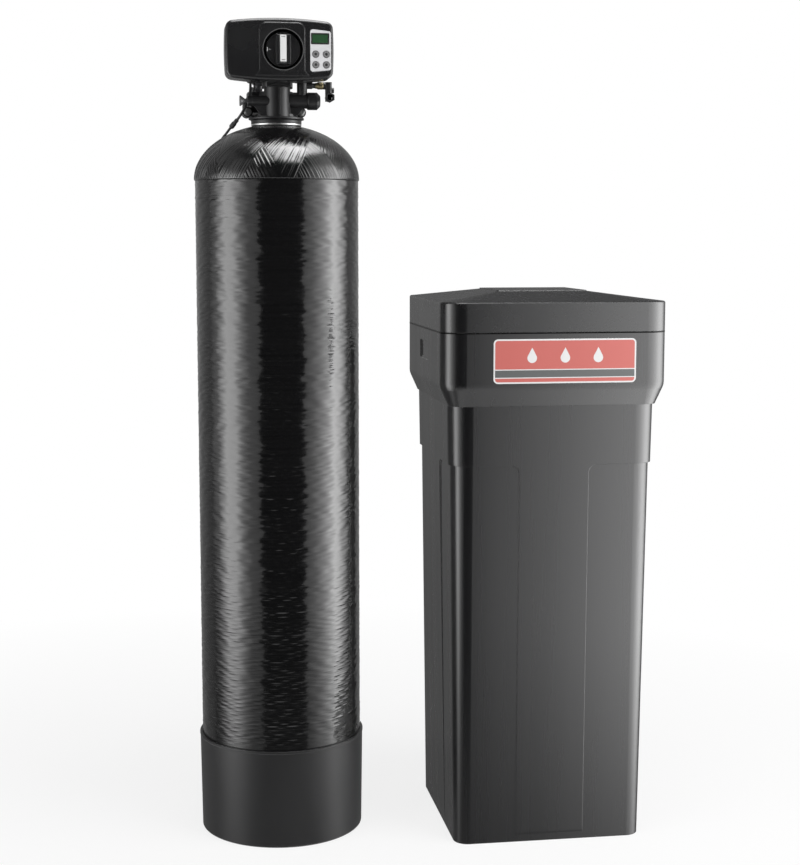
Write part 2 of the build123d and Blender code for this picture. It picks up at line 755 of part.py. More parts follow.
# Front cover: an open-backed shell with a raised middle panel, a dial recess and a keypad window
key_pocket = 0.8
with BuildPart() as front_cover:
    extrude(head_outline(facing_front(flange_back), 0, 11), amount=flange_back - cover_front)
    fillet(front_cover.faces().sort_by(Axis.Y)[0].edges(), 5)
    with BuildSketch(facing_front(cover_front)) as middle_panel:
        with BuildLine():
            Polyline(
                (-37, 1201.5), (-31.5, 1210), (-31.5, 1281), (37.8, 1281), (37.8, 1210), (43.5, 1201.5),
                close=True,
            )
        make_face()
        fillet(middle_panel.vertices().group_by(Axis.Y)[-1], 11)
        fillet(middle_panel.vertices().group_by(Axis.Y)[1], 6)
    extrude(amount=panel_proud)
    fillet(front_cover.faces().sort_by(Axis.Y)[0].edges(), 1)
    # Hollow of the shell, with the tube of the dial recess left standing in it
    extrude(
        head_outline(facing_front(flange_back), cover_wall, 8.5),
        amount=flange_back - cover_front - cover_wall, mode=Mode.SUBTRACT,
    )
    with Locations((dial_x, cover_front + cover_wall, dial_z)):
        Cylinder(recess_radius + 2.2, 9, rotation=toward_back, align=from_base)
    with Locations((dial_x, cover_front - panel_proud, dial_z)):
        Cylinder(recess_radius, 20, rotation=toward_back, align=from_base, mode=Mode.SUBTRACT)
    # Bright rim of the recess: a chamfer all round its mouth
    with Locations((dial_x, cover_front - panel_proud, dial_z)):
        Cone(recess_radius, recess_radius + 1.2, 1.2, rotation=toward_front,
             align=from_top, mode=Mode.SUBTRACT)
    # Stops that meet the flange behind, in the four corners, and posts for the circuit board
    for stop_x in (cover_left + 14, cover_right - 14):
        for stop_z in (cover_low + 11, cover_high - 11):
            with Locations((stop_x, flange_front - 0.2, stop_z)):
                Box(8, 6, 10, align=(Align.CENTER, Align.MAX, Align.CENTER))
    with Locations(*[(x, cover_front + 2, z) for x, z in board_posts]):
        Cylinder(2.4, board_front - cover_front - 2, rotation=toward_back, align=from_base)
    # Notch in the floor for the valve block, open behind so that the cover pulls off forwards
    with Locations((block_middle, flange_back, cover_low)):
        Box(block_width + 2, 14, 12, mode=Mode.SUBTRACT)
    # Keypad pocket, display window and key holes
    with BuildSketch(facing_front(cover_front)) as pocket:
        with BuildLine():
            Polyline((45.8, 1207.8), (45.8, 1272.2), (77.8, 1268.8), (77.8, 1210.8), close=True)
        make_face()
        fillet(pocket.vertices(), 4)
    extrude(amount=-key_pocket, mode=Mode.SUBTRACT)
    with Locations((display_place[0], cover_front, display_place[1])):
        Box(27, 12, 16, mode=Mode.SUBTRACT)
    for key_x, key_z in key_places:
        with Locations((key_x, cover_front, key_z)):
            Cylinder(key_radius + 0.3, 8, rotation=toward_back, mode=Mode.SUBTRACT)
front_cover.part.label = "front_cover"
export_step(front_cover.part, "parts/front_cover.step")

# Keypad panel, display window behind its opening, circuit board on the cover's posts
with BuildPart() as keypad_panel:
    with BuildSketch(facing_front(cover_front + key_pocket)) as panel:
        with BuildLine():
            Polyline((46, 1208), (46, 1272), (77.6, 1268.6), (77.6, 1211), close=True)
        make_face()
        fillet(panel.vertices(), 3.8)
        with Locations(display_place):
            RectangleRounded(26.6, 15.6, 0.8, mode=Mode.SUBTRACT)
        with Locations(*key_places):
            Circle(key_radius + 0.3, mode=Mode.SUBTRACT)
    extrude(amount=key_pocket + 0.3)
keypad_panel.part.label = "keypad_panel"
export_step(keypad_panel.part, "parts/keypad_panel.step")

with BuildPart() as display:
    with BuildSketch(facing_front(cover_front + 5)):
        with Locations(display_place):
            Rectangle(26.2, 15.2)
    extrude(amount=5.2)
display.part.label = "display"
export_step(display.part, "parts/display.step")

with BuildPart() as circuit_board:
    with BuildSketch(facing_front(board_front + 1.6)):
        with Locations((59.5, 1241.5)):
            RectangleRounded(33, 65, 2)
    extrude(amount=1.6)
    for key_x, key_z in key_places:
        with Locations((key_x, board_front, key_z)):
            Box(6, 1.8, 6, align=(Align.CENTER, Align.MAX, Align.CENTER))
    with Locations((display_place[0], board_front, display_place[1])):
        Box(24, 3.8, 13, align=(Align.CENTER, Align.MAX, Align.CENTER))
    with Locations((54, board_front + 1.6, 1228), (66, board_front + 1.6, 1250)):
        Box(9, 2.4, 12, align=(Align.CENTER, Align.MIN, Align.CENTER))
circuit_board.part.label = "circuit_board"
export_step(circuit_board.part, "parts/circuit_board.step")

# Four keys, each held behind the cover by its flange
for number, (key_x, key_z) in enumerate(key_places, start=1):
    with BuildPart() as key:
        with Locations((key_x, cover_front - 1, key_z)):
            Cylinder(key_radius, 6.6, rotation=toward_back, align=from_base)
        fillet(key.faces().sort_by(Axis.Y)[0].edges(), 0.8)
        with Locations((key_x, cover_front + cover_wall + 0.3, key_z)):
            Cylinder(key_radius + 1.2, 1.2, rotation=toward_back, align=from_base)
    key.part.label = f"key_{number}"
    export_step(key.part, f"parts/key_{number}.step")

# Rear housing: a flange that fits the cover's back, and a smaller box behind it
housing_middle = ((housing_left + housing_right) / 2, (housing_low + housing_high) / 2)
housing_size = (housing_right - housing_left, housing_high - housing_low)
with BuildPart() as rear_housing:
    extrude(head_outline(facing_front(flange_back), cover_wall + 0.4, 8), amount=flange_back - flange_front)
    with BuildSketch(facing_front(housing_back)):
        with Locations(housing_middle):
            RectangleRounded(*housing_size, 9)
    extrude(amount=housing_back - flange_front)
    fillet(rear_housing.faces().sort_by(Axis.Y)[-1].edges(), 4)
    with BuildSketch(facing_front(housing_back - cover_wall)):
        with Locations(housing_middle):
            RectangleRounded(housing_size[0] - 2 * cover_wall, housing_size[1] - 2 * cover_wall, 6.5)
    extrude(amount=housing_back - cover_wall - flange_front, mode=Mode.SUBTRACT)
    # Holes in the floor: end plug, brine stem, bracket screws
    with Locations((bore_x, bore_y, housing_low)):
        Cylinder(16.6, 2 * cover_wall, mode=Mode.SUBTRACT)
    with Locations((brine_x, injector_y, housing_low)):
        Cylinder(4, 2 * cover_wall, mode=Mode.SUBTRACT)
    with Locations(*[(x, y, housing_low) for x, y in bracket_screw_places]):
        Cylinder(2.6, 4 * cover_wall, mode=Mode.SUBTRACT)
    with Locations((grommet_x, grommet_y, housing_low)):
        Cylinder(5.05, 4 * cover_wall, mode=Mode.SUBTRACT)
    # Notch in the flange for the valve block
    with Locations((block_middle, flange_front, housing_low)):
        Box(block_width + 1, 8, 16, align=from_top, mode=Mode.SUBTRACT)
rear_housing.part.label = "rear_housing"
export_step(rear_housing.part, "parts/rear_housing.step")

# Drive bracket: floor on the valve block, front plate that carries the dial spindle, two side plates
bracket_floor = housing_low + cover_wall
bracket_front, bracket_wall = -46, 2.5
bracket_left, bracket_right = -56, 40
bracket_high = 1273
with BuildPart() as drive_bracket:
    with BuildSketch(facing_front(bracket_front + bracket_wall)):
        with Locations(((bracket_left + bracket_right) / 2, (bracket_floor + bracket_high) / 2)):
            RectangleRounded(bracket_right - bracket_left, bracket_high - bracket_floor, 3)
    extrude(amount=bracket_wall)
    for side_x in (bracket_left + bracket_wall / 2, bracket_right - bracket_wall / 2):
        with Locations((side_x, bracket_front + 1, 1246)):
            Box(bracket_wall, housing_back - cover_wall - bracket_front - 1, 40,
                align=(Align.CENTER, Align.MIN, Align.CENTER))
    with Locations((block_middle, bracket_front + 1, bracket_floor)):
        Box(50, housing_back - cover_wall - bracket_front - 1.2, bracket_wall,
            align=(Align.CENTER, Align.MIN, Align.MIN))
    with Locations((bore_x, bore_y, bracket_floor)):
        Cylinder(16.6, 2 * bracket_wall, mode=Mode.SUBTRACT)
    with Locations(*[(x, y, bracket_floor) for x, y in bracket_screw_places]):
        Cylinder(2.6, 3 * bracket_wall, mode=Mode.SUBTRACT)
    with Locations((dial_x, bracket_front, dial_z)):
        Cylinder(8.05, 12, rotation=toward_back, mode=Mode.SUBTRACT)
    with Locations((pinion_x, bracket_front, dial_z)):
        Cylinder(2.05, 12, rotation=toward_back, mode=Mode.SUBTRACT)
    with Locations((-44, bracket_front, 1219), (-44, bracket_front, 1263), (31, bracket_front, 1263)):
        Cylinder(4, 12, rotation=toward_back, mode=Mode.SUBTRACT)
drive_bracket.part.label = "drive_bracket"
export_step(drive_bracket.part, "parts/drive_bracket.step")

with BuildPart() as bracket_screws:
    with Locations(*[(x, y, bracket_floor + bracket_wall) for x, y in bracket_screw_places]):
        Cylinder(3.8, 2.4, align=from_base)
        Cylinder(2, 12, align=from_top)
bracket_screws.part.label = "bracket_screws"
export_step(bracket_screws.part, "parts/bracket_screws.step")

# Drive motor on the housing's back wall, its shaft running forward into the pinion
motor_front = -28
with BuildPart() as drive_motor:
    with Locations((pinion_x, housing_back - cover_wall, dial_z)):
        Cylinder(
            motor_radius, housing_back - cover_wall - motor_front, rotation=toward_front, align=from_base
        )
    with Locations((pinion_x, motor_front, dial_z)):
        Cylinder(5, 3, rotation=toward_front, align=from_base)
        Cylinder(1.5, -bracket_front + motor_front, rotation=toward_front, align=from_base)
    with Locations((pinion_x, housing_back - cover_wall, dial_z)):
        with Locations((0, 0, motor_radius + 3), (0, 0, -motor_radius - 3)):
            Cylinder(4, 2, rotation=toward_front, align=from_base)
        Box(7, 2, 2 * motor_radius + 6, align=(Align.CENTER, Align.MAX, Align.CENTER))
drive_motor.part.label = "drive_motor"
export_step(drive_motor.part, "parts/drive_motor.step")


# Outline of a spur gear about a centre, with flanks drawn from the involute of its base circle
def gear_outline(teeth, centre, first_angle, backlash):
    pitch_r = gear_module * teeth / 2
    base_r = pitch_r * math.cos(math.radians(20))
    tip_r, root_r = pitch_r + gear_module * 0.95, pitch_r - gear_module * 1.2
    flat = math.tan(math.radians(20)) - math.radians(20)
    half_tooth = (math.pi * gear_module / 2 - backlash) / 2 / pitch_r

    def flank_angle(radius):
        spread = math.acos(min(1, base_r / radius))
        return half_tooth + flat - (math.tan(spread) - spread)

    low_r = max(base_r, root_r)
    flank_radii = [root_r, low_r + 0.1, (low_r + tip_r) / 2, tip_r]
    points = []
    for tooth in range(teeth):
        middle = math.radians(first_angle) + 2 * math.pi * tooth / teeth
        for radius in flank_radii:
            angle = middle - flank_angle(max(radius, low_r))
            points.append((centre[0] + radius * math.cos(angle), centre[1] + radius * math.sin(angle)))
        for radius in reversed(flank_radii):
            angle = middle + flank_angle(max(radius, low_r))
            points.append((centre[0] + radius * math.cos(angle), centre[1] + radius * math.sin(angle)))
    return points


# Main gear with its spindle, brine cam and crank pin
with BuildPart() as main_gear:
    with BuildSketch(facing_front(gear_back)):
        with BuildLine():
            Polyline(*gear_outline(gear_teeth, (dial_x, dial_z), 180, 0.16), close=True)
        make_face()
        with Locations((dial_x, dial_z)):
            with PolarLocations(18.5, 6):
                Circle(4.5, mode=Mode.SUBTRACT)
    extrude(amount=gear_back - gear_front)
    with Locations((dial_x, gear_front, dial_z)):
        Cylinder(8, gear_front + 66, rotation=toward_front, align=from_base)
    with Locations((dial_x, -66, dial_z)):
        Cylinder(5, 14, rotation=toward_front, align=from_base)
    with BuildSketch(facing_front(gear_back + 3)):
        with Locations((dial_x, dial_z)):
            Circle(24.5)
            with PolarLocations(24, 1, 120):
                Circle(0.9)
            Circle(13.5, mode=Mode.SUBTRACT)
            Circle(12)
    extrude(amount=3)
    with Locations((dial_x, gear_back, dial_z - crank_radius)):
        Cylinder(3, yoke_front - gear_back - 0.4, rotation=toward_back, align=from_base)
main_gear.part.label = "main_gear"
export_step(main_gear.part, "parts/main_gear.step")

with BuildPart() as motor_pinion:
    with BuildSketch(facing_front(gear_back + 0.5)):
        with BuildLine():
            Polyline(*gear_outline(pinion_teeth, (pinion_x, dial_z), 180 / pinion_teeth, 0.16), close=True)
        make_face()
        with Locations((pinion_x, dial_z)):
            Circle(1.55, mode=Mode.SUBTRACT)
    extrude(amount=gear_back - gear_front + 1)
motor_pinion.part.label = "motor_pinion"
export_step(motor_pinion.part, "parts/motor_pinion.step")

# Dial knob: a disc with a raised grip bar, recessed for its insert, pushed on the spindle
knob_face, knob_back = -81.5, -77
grip_front = -87.5
with BuildPart() as dial_knob:
    with Locations((dial_x, knob_back, dial_z)):
        Cylinder(dial_radius, knob_back - knob_face, rotation=toward_front, align=from_base)
    fillet(dial_knob.faces().sort_by(Axis.Y)[0].edges(), 1)
    with BuildSketch(facing_front(knob_face)):
        with Locations((dial_x, dial_z)):
            RectangleRounded(24, 46, 3)
    extrude(amount=knob_face - grip_front, taper=12)
    fillet(dial_knob.faces().sort_by(Axis.Y)[0].edges(), 0.8)
    with BuildSketch(facing_front(grip_front)):
        with Locations((dial_x, dial_z + 1.5)):
            RectangleRounded(10.8, 41.6, 1)
    extrude(amount=-0.4, mode=Mode.SUBTRACT)
    with Locations((dial_x, knob_back, dial_z)):
        Cylinder(9, 8, rotation=toward_back, align=from_base)
    with Locations((dial_x, -66, dial_z)):
        Cylinder(5, 14, rotation=toward_front, align=from_base, mode=Mode.SUBTRACT)
dial_knob.part.label = "dial_knob"
export_step(dial_knob.part, "parts/dial_knob.step")

# Cord grommet under the housing
lead_x = grommet_x - 3
with BuildPart() as cord_grommet:
    revolve(
        turning_outline(
            [
                (0, grommet_low), (7, grommet_low), (8.5, grommet_low + 1.5), (8.5, housing_low),
                (5, housing_low), (5, housing_low + cover_wall), (6.5, housing_low + cover_wall),
                (6.5, housing_low + cover_wall + 1.5), (0, housing_low + cover_wall + 1.5),
            ],
            upright(grommet_x, grommet_y),
        ),
        axis=Axis((grommet_x, grommet_y, 0), (0, 0, 1)),
    )
cord_grommet.part.label = "cord_grommet"
export_step(cord_grommet.part, "parts/cord_grommet.step")

# Power lead from the grommet to the in-line connector
lead_radius = 2
lead_points = [
    (lead_x, grommet_y, grommet_low), (lead_x, grommet_y, 1188), (-42.5, -14.6, 1177.5), (-46, -15, 1166.5),
    (-51.5, -14.5, 1155.5), (-58, -10.9, 1144.7), (-61.5, -5, 1140.5),
]
power_lead_tube, power_lead_length = route_tube(lead_points, lead_radius)
with BuildPart() as power_lead:
    add(power_lead_tube)
power_lead.part.label = "power_lead"
export_step(power_lead.part, "parts/power_lead.step")

# In-line connector: two barrels, the lower one thicker, lying just above the dome
connector_start = Vector(*lead_points[-1])
connector_end = Vector(-71, 11, 1129.1)
connector_run = connector_end - connector_start
connector_length = connector_run.length
with BuildPart() as inline_connector:
    connector_plane = Plane(origin=connector_start, z_dir=connector_run)
    with BuildSketch(connector_plane):
        Circle(2.6)
    extrude(amount=connector_length)
    with BuildSketch(connector_plane.offset(1.5)):
        Circle(3.25)
    extrude(amount=9)
    with BuildSketch(connector_plane.offset(10.5)):
        Circle(4)
    extrude(amount=connector_length - 13)
inline_connector.part.label = "inline_connector"
export_step(inline_connector.part, "parts/inline_connector.step")


# A point of the cord's route behind the tank, from its distance to the tank's axis, its bearing and height
def behind_tank(distance, bearing, height):
    angle = math.radians(bearing)
    return (distance * math.cos(angle), distance * math.sin(angle), height)


# The cord goes over the shoulder, falls down the tank's back and turns along the floor to its coil
coil_x, coil_y, coil_outer, coil_pitch = 10, 185, 28.5, 4.6
cord_floor = 2.2
cord_points = [
    tuple(connector_end), (-74.9, 17.6, 1124.4), behind_tank(83, 159, 1120.5),
    behind_tank(94, 152, 1114.5), behind_tank(107, 144, 1104),
    behind_tank(121, 136, 1087), behind_tank(131, 129.5, 1063), behind_tank(135.5, 124.5, 1035),
    behind_tank(136.5, 120.5, 990), behind_tank(137, 118, 938), behind_tank(137, 116.3, 884),
    behind_tank(137, 114.4, 829), behind_tank(137.2, 112.9, 774), behind_tank(137, 111.1, 718),
    behind_tank(137, 109.6, 662), behind_tank(137.2, 107.8, 606), behind_tank(137, 106.4, 550),
    behind_tank(137, 104.7, 494), behind_tank(137.2, 103.2, 438), behind_tank(137.2, 101.6, 382),
    behind_tank(137.6, 100.3, 326), behind_tank(138, 98.9, 270), behind_tank(138.4, 97.9, 214),
    behind_tank(138.8, 96.8, 160), behind_tank(139, 96.1, 110), behind_tank(139.4, 95.6, 66),
    (-14, 140.5, 34), (-15, 147, 13), (-15.8, 158, 4), (coil_x - coil_outer, 170, cord_floor),
    (coil_x - coil_outer, 181, cord_floor),
]
power_cord_tube, power_cord_length = route_tube(cord_points, lead_radius)
with BuildPart() as power_cord:
    add(power_cord_tube)
power_cord.part.label = "power_cord"
export_step(power_cord.part, "parts/power_cord.step")
print("cord radii", [round(radius, 1) for radius in route_radii(cord_points)])
print("lead radii", [round(radius, 1) for radius in route_radii(lead_points)])
print("meter cable radii", [round(radius, 1) for radius in route_radii(cable_points)])

# Coil of the cord: turns in on the floor, a climb in the half turn where it reverses, turns out on top
turns_in, turns_out = 2.25, 2.0
climb_start, climb_turns = 2.0, 0.5
layer_rise, coil_tail = 4.6, 20
all_turns = turns_in + turns_out


def coil_point(turn):
    inward = min(turn, turns_in)
    outward = max(turn - turns_in, 0)
    climbed = min(max((turn - climb_start) / climb_turns, 0), 1)
    radius = coil_outer - coil_pitch * inward + coil_pitch * outward
    height = cord_floor + layer_rise * (1 - math.cos(math.pi * climbed)) / 2
    angle = math.pi - 2 * math.pi * turn
    return Vector(coil_x + radius * math.cos(angle), coil_y + radius * math.sin(angle), height)


def coil_heading(turn):
    small = 0.0005
    ahead = min(turn + small, all_turns)
    behind = max(turn - small, 0)
    return (coil_point(ahead) - coil_point(behind)).normalized()


# Two arcs between two points that leave and arrive in given directions
def two_arcs(start, heading_in, finish, heading_out):
    span = finish - start
    both = heading_in + heading_out
    a = 2 * (heading_in.dot(heading_out) - 1)
    b = -2 * span.dot(both)
    c = span.dot(span)
    reach = c / (-b) if abs(a) < 1e-9 else (-b - math.sqrt(b * b - 4 * a * c)) / (2 * a)
    near = start + heading_in * reach
    far = finish - heading_out * reach
    middle = (near + far) * 0.5
    TangentArc(start, middle, tangent=heading_in)
    TangentArc(middle, finish, tangent=far - near)


quarters = round(all_turns * 4)
with BuildPart() as cord_coil:
    with BuildLine() as coil_line:
        first, first_heading = coil_point(0), Vector(0, 1, 0)
        Line(first - first_heading * 2 * lead_radius, first)
        for quarter in range(quarters):
            turn, next_turn = quarter / 4, (quarter + 1) / 4
            heading = first_heading if quarter == 0 else coil_heading(turn)
            last = quarter == quarters - 1
            next_heading = Vector(1, 0, 0) if last else coil_heading(next_turn)
            two_arcs(coil_point(turn), heading, coil_point(next_turn), next_heading)
        coil_last = coil_point(all_turns)
        Line(coil_last, coil_last + Vector(1, 0, 0) * coil_tail)
    with BuildSketch(Plane(origin=first - first_heading * 2 * lead_radius, z_dir=first_heading)):
        Circle(lead_radius)
    sweep()
cord_coil.part.label = "cord_coil"
export_step(cord_coil.part, "parts/cord_coil.step")
coil_samples = [coil_point(step / 200) for step in range(round(all_turns * 200) + 1)]
coil_gaps = [
    (coil_samples[i] - coil_samples[j]).length - 2 * lead_radius
    for i in range(0, len(coil_samples), 4) for j in range(i + 100, len(coil_samples), 2)
]
coil_length = sum(edge.length for edge in coil_line.edges())
print("coil gap", round(min(coil_gaps), 2), "coil length", round(coil_length, 1))
free_cord = power_lead_length + connector_length + power_cord_length + coil_length
print("cord length", round(free_cord, 1), "meter cable", round(meter_cable_length, 1))

# Wall transformer at the cord's end, on the floor behind the tank
transformer_x, transformer_z = coil_last.X + coil_tail + 10, 38
transformer_size = (54, 44)
prong_spread, prong_width = 6.35, 6.3
with BuildPart() as wall_transformer:
    with BuildSketch(Plane.XY):
        with Locations((transformer_x + transformer_size[0] / 2, coil_last.Y)):
            RectangleRounded(*transformer_size, 5)
    extrude(amount=transformer_z)
    fillet(wall_transformer.faces().sort_by(Axis.Z)[-1].edges(), 3)
    with Locations((transformer_x + 1, coil_last.Y, coil_last.Z)):
        Cylinder(3.4, 11, rotation=toward_left, align=from_base)
    for side in (-1, 1):
        with Locations((transformer_x + transformer_size[0], coil_last.Y + side * prong_spread, 20)):
            Box(16, 1.5, prong_width, align=(Align.MIN, Align.CENTER, Align.CENTER))
wall_transformer.part.label = "wall_transformer"
export_step(wall_transformer.part, "parts/wall_transformer.step")

# Brine tank: a tapering body with recessed corners, a full-width collar above, open at the top
brine_taper = math.degrees(math.atan((brine_neck_size - brine_floor_size) / 2 / brine_neck_z))
floor_corner = brine_corner - (brine_rim - brine_floor_size) / 4
recess_depth, recess_taper_drop = 3.5, 0.4
recess_half_low = brine_floor_size / 2 - recess_taper_drop
recess_half_high = (
    brine_floor_size / 2 + (brine_neck_size - brine_floor_size) / 2 * recess_top / brine_neck_z - recess_depth
)
inner_taper = math.degrees(math.atan((recess_half_high - recess_half_low) / recess_top))
brine_origin = Plane(origin=(brine_centre_x, brine_centre_y, 0))
collar_inset = (brine_rim - brine_neck_size) / 2
flare_top = brine_neck_z + flare_height
flare_taper = math.degrees(math.atan((collar_inset - 0.5) / flare_height))
pocket_y, pocket_z = -12, 778
overflow_z, overflow_hole = 585, 10

# The four corners to recess: where a front-view outline and a side-view outline cross
with BuildPart() as corner_cut:
    back_view = Plane(origin=(brine_centre_x, brine_centre_y + 250, 0), x_dir=(1, 0, 0), z_dir=(0, -1, 0))
    left_view = Plane(origin=(brine_centre_x - 250, brine_centre_y, 0), x_dir=(0, 1, 0), z_dir=(1, 0, 0))
    for view, view_mode in ((back_view, Mode.ADD), (left_view, Mode.INTERSECT)):
        with BuildSketch(view):
            for side in (-1, 1):
                with Locations((side * (panel_half + 100), recess_top - 350)):
                    RectangleRounded(200, 700, 13)
        extrude(amount=500, mode=view_mode)

with BuildPart() as brine_tank:
    with BuildSketch(brine_origin):
        RectangleRounded(brine_floor_size, brine_floor_size, floor_corner)
    extrude(amount=brine_neck_z + 8, taper=-brine_taper)
    fillet(brine_tank.faces().sort_by(Axis.Z)[0].edges(), 16)
    add(corner_cut.part, mode=Mode.SUBTRACT)
    with BuildSketch(brine_origin):
        RectangleRounded(2 * recess_half_low, 2 * recess_half_low, floor_corner)
    extrude(amount=recess_top + 20, taper=-inner_taper)
    fillet(brine_tank.faces().sort_by(Axis.Z)[0].edges(), 1)
    # Collar: flares out from the neck, then stands straight up to the rim
    with BuildSketch(brine_origin.offset(brine_neck_z)):
        RectangleRounded(brine_neck_size + 1, brine_neck_size + 1, brine_corner - collar_inset + 0.5)
    extrude(amount=flare_height, taper=-flare_taper)
    with BuildSketch(brine_origin.offset(flare_top)):
        RectangleRounded(brine_rim, brine_rim, brine_corner)
    extrude(amount=collar_top - flare_top)
    shoulder = brine_tank.edges().filter_by_position(Axis.Z, flare_top - 1, flare_top + 1)
    fillet(shoulder, 24)
    # Hollow: the body inside the recessed walls, the flare, and the collar up to the open rim
    inner_low = 2 * (recess_half_low - brine_wall + 1)
    inner_neck = inner_low + 2 * brine_neck_z * math.tan(math.radians(inner_taper))
    inner_rim = brine_rim - 2 * brine_wall
    with BuildSketch(brine_origin.offset(brine_wall)):
        RectangleRounded(inner_low, inner_low, floor_corner - 3)
    extrude(amount=brine_neck_z - brine_wall + 4, taper=-inner_taper, mode=Mode.SUBTRACT)
    flare = (inner_rim - inner_neck) / 2
    with BuildSketch(brine_origin.offset(brine_neck_z + 3)):
        RectangleRounded(inner_neck, inner_neck, brine_corner - 5 - flare)
    extrude(amount=32, taper=-math.degrees(math.atan(flare / 32)), mode=Mode.SUBTRACT)
    with BuildSketch(brine_origin.offset(brine_neck_z + 35)):
        RectangleRounded(inner_rim, inner_rim, brine_corner - 5)
    extrude(amount=collar_top - brine_neck_z - 35, mode=Mode.SUBTRACT)
    # Pocket on the left side with the slot for the brine line, and the overflow hole behind
    with Locations((brine_centre_x - brine_rim / 2, pocket_y, pocket_z)):
        Box(5, 78, 30, mode=Mode.SUBTRACT)
    with Locations((brine_centre_x - brine_rim / 2, pocket_y + 30, pocket_z)):
        Box(20, 10, 26, mode=Mode.SUBTRACT)
    with Locations((brine_centre_x, brine_centre_y + brine_rim / 2, overflow_z)):
        Cylinder(overflow_hole, 60, rotation=toward_back, mode=Mode.SUBTRACT)
brine_tank.part.label = "brine_tank"
export_step(brine_tank.part, "parts/brine_tank.step")

# Lid: a skirt the size of the collar, a low pyramid with a raised flat, and a lip that drops inside
lid_wall = 4
with BuildPart() as brine_lid:
    with BuildSketch(brine_origin.offset(collar_top)):
        RectangleRounded(brine_rim, brine_rim, brine_corner)
    extrude(amount=lid_rim - collar_top)
    fillet(brine_lid.faces().sort_by(Axis.Z)[-1].edges(), 3)
    for level, size, corner in ((lid_rim, brine_rim - 8, brine_corner - 4), (lid_peak, 150, 8)):
        with BuildSketch(brine_origin.offset(level)):
            RectangleRounded(size, size, corner)
    loft(ruled=True)
    with BuildSketch(brine_origin.offset(lid_peak)):
        RectangleRounded(146, 146, 6)
    extrude(amount=1.5)
    with BuildSketch(brine_origin.offset(collar_top)):
        RectangleRounded(brine_rim - 2 * lid_wall, brine_rim - 2 * lid_wall, brine_corner - lid_wall)
    extrude(amount=lid_rim - collar_top - lid_wall, mode=Mode.SUBTRACT)
    for level, size, corner in (
        (lid_rim - lid_wall, brine_rim - 22, brine_corner - 10), (lid_peak - lid_wall, 150, 8)
    ):
        with BuildSketch(brine_origin.offset(level)):
            RectangleRounded(size, size, corner)
    loft(ruled=True, mode=Mode.SUBTRACT)
    lip_size = inner_rim - 1
    with BuildSketch(brine_origin.offset(collar_top - 8)):
        RectangleRounded(lip_size, lip_size, brine_corner - 5.5)
        RectangleRounded(lip_size - 6, lip_size - 6, brine_corner - 8.5, mode=Mode.SUBTRACT)
    extrude(amount=14)
    with BuildSketch(brine_origin.offset(collar_top + 0.2)):
        RectangleRounded(brine_rim - 2, brine_rim - 2, brine_corner - 1)
        RectangleRounded(lip_size - 6, lip_size - 6, brine_corner - 8.5, mode=Mode.SUBTRACT)
    extrude(amount=3)
brine_lid.part.label = "brine_lid"
export_step(brine_lid.part, "parts/brine_lid.step")

# Brine well: a tall tube with slots at its foot, and its cap
well_x, well_y, well_radius, well_top = 320, 85, 45, 776
with BuildPart() as brine_well:
    with Locations((well_x, well_y, brine_wall)):
        Cylinder(well_radius, well_top - brine_wall, align=from_base)
        Cylinder(well_radius - 3, well_top - brine_wall, align=from_base, mode=Mode.SUBTRACT)
    with Locations((well_x, well_y, 32)):
        with PolarLocations(well_radius, 8):
            Box(12, 3, 40, mode=Mode.SUBTRACT)
    with Locations((well_x - well_radius, well_y - 20, 752)):
        Box(40, 14, 26, mode=Mode.SUBTRACT)
brine_well.part.label = "brine_well"
export_step(brine_well.part, "parts/brine_well.step")

with BuildPart() as well_cap:
    with Locations((well_x, well_y, well_top - 12)):
        Cylinder(well_radius + 3, 16, align=from_base)
        Cylinder(well_radius + 0.4, 12, align=from_base, mode=Mode.SUBTRACT)
    fillet(well_cap.faces().sort_by(Axis.Z)[-1].edges(), 2)
    with Locations((well_x - well_radius, well_y - 20, well_top - 12)):
        Box(24, 16, 20, mode=Mode.SUBTRACT)
    with Locations((well_x, well_y, well_top + 4)):
        Box(8, 44, 8, align=from_base)
well_cap.part.label = "well_cap"
export_step(well_cap.part, "parts/well_cap.step")

# Salt grid: a slotted platform on short legs, with a round cut-out for the well
grid_size, grid_top = 286, 108
leg_places = [(100, -110), (-100, -110), (110, 60), (30, 120)]
with BuildPart() as salt_grid:
    with BuildSketch(brine_origin.offset(grid_top - 4)):
        RectangleRounded(grid_size, grid_size, 18)
        with Locations((well_x - brine_centre_x, well_y - brine_centre_y)):
            Circle(well_radius + 1, mode=Mode.SUBTRACT)
        with GridLocations(30, 56, 4, 4):
            SlotOverall(24, 6, mode=Mode.SUBTRACT)
    extrude(amount=4)
    with BuildSketch(brine_origin.offset(brine_wall)):
        with Locations(*leg_places):
            Circle(9)
    extrude(amount=grid_top - 4 - brine_wall)
salt_grid.part.label = "salt_grid"
export_step(salt_grid.part, "parts/salt_grid.step")

# Safety valve on the well floor with its brine pipe, and the float that shuts it
pipe_x, pipe_y = well_x - 16, well_y - 14
with BuildPart() as safety_valve:
    with Locations((well_x, well_y, brine_wall)):
        Cylinder(24, 6, align=from_base)
        Cylinder(17, 44, align=from_base)
    with Locations((pipe_x, pipe_y, brine_wall + 20)):
        Cylinder(6.5, 24, align=from_base)
        Cylinder(4.75, 722, align=from_base)
    with Locations((pipe_x + 4, pipe_y, brine_wall + 742)):
        Cylinder(6.5, 16, rotation=toward_left, align=from_base)
    with Locations((well_x + 6, well_y + 4, brine_wall + 20)):
        Cylinder(3.2, 40, align=from_base, mode=Mode.SUBTRACT)
safety_valve.part.label = "safety_valve"
export_step(safety_valve.part, "parts/safety_valve.step")

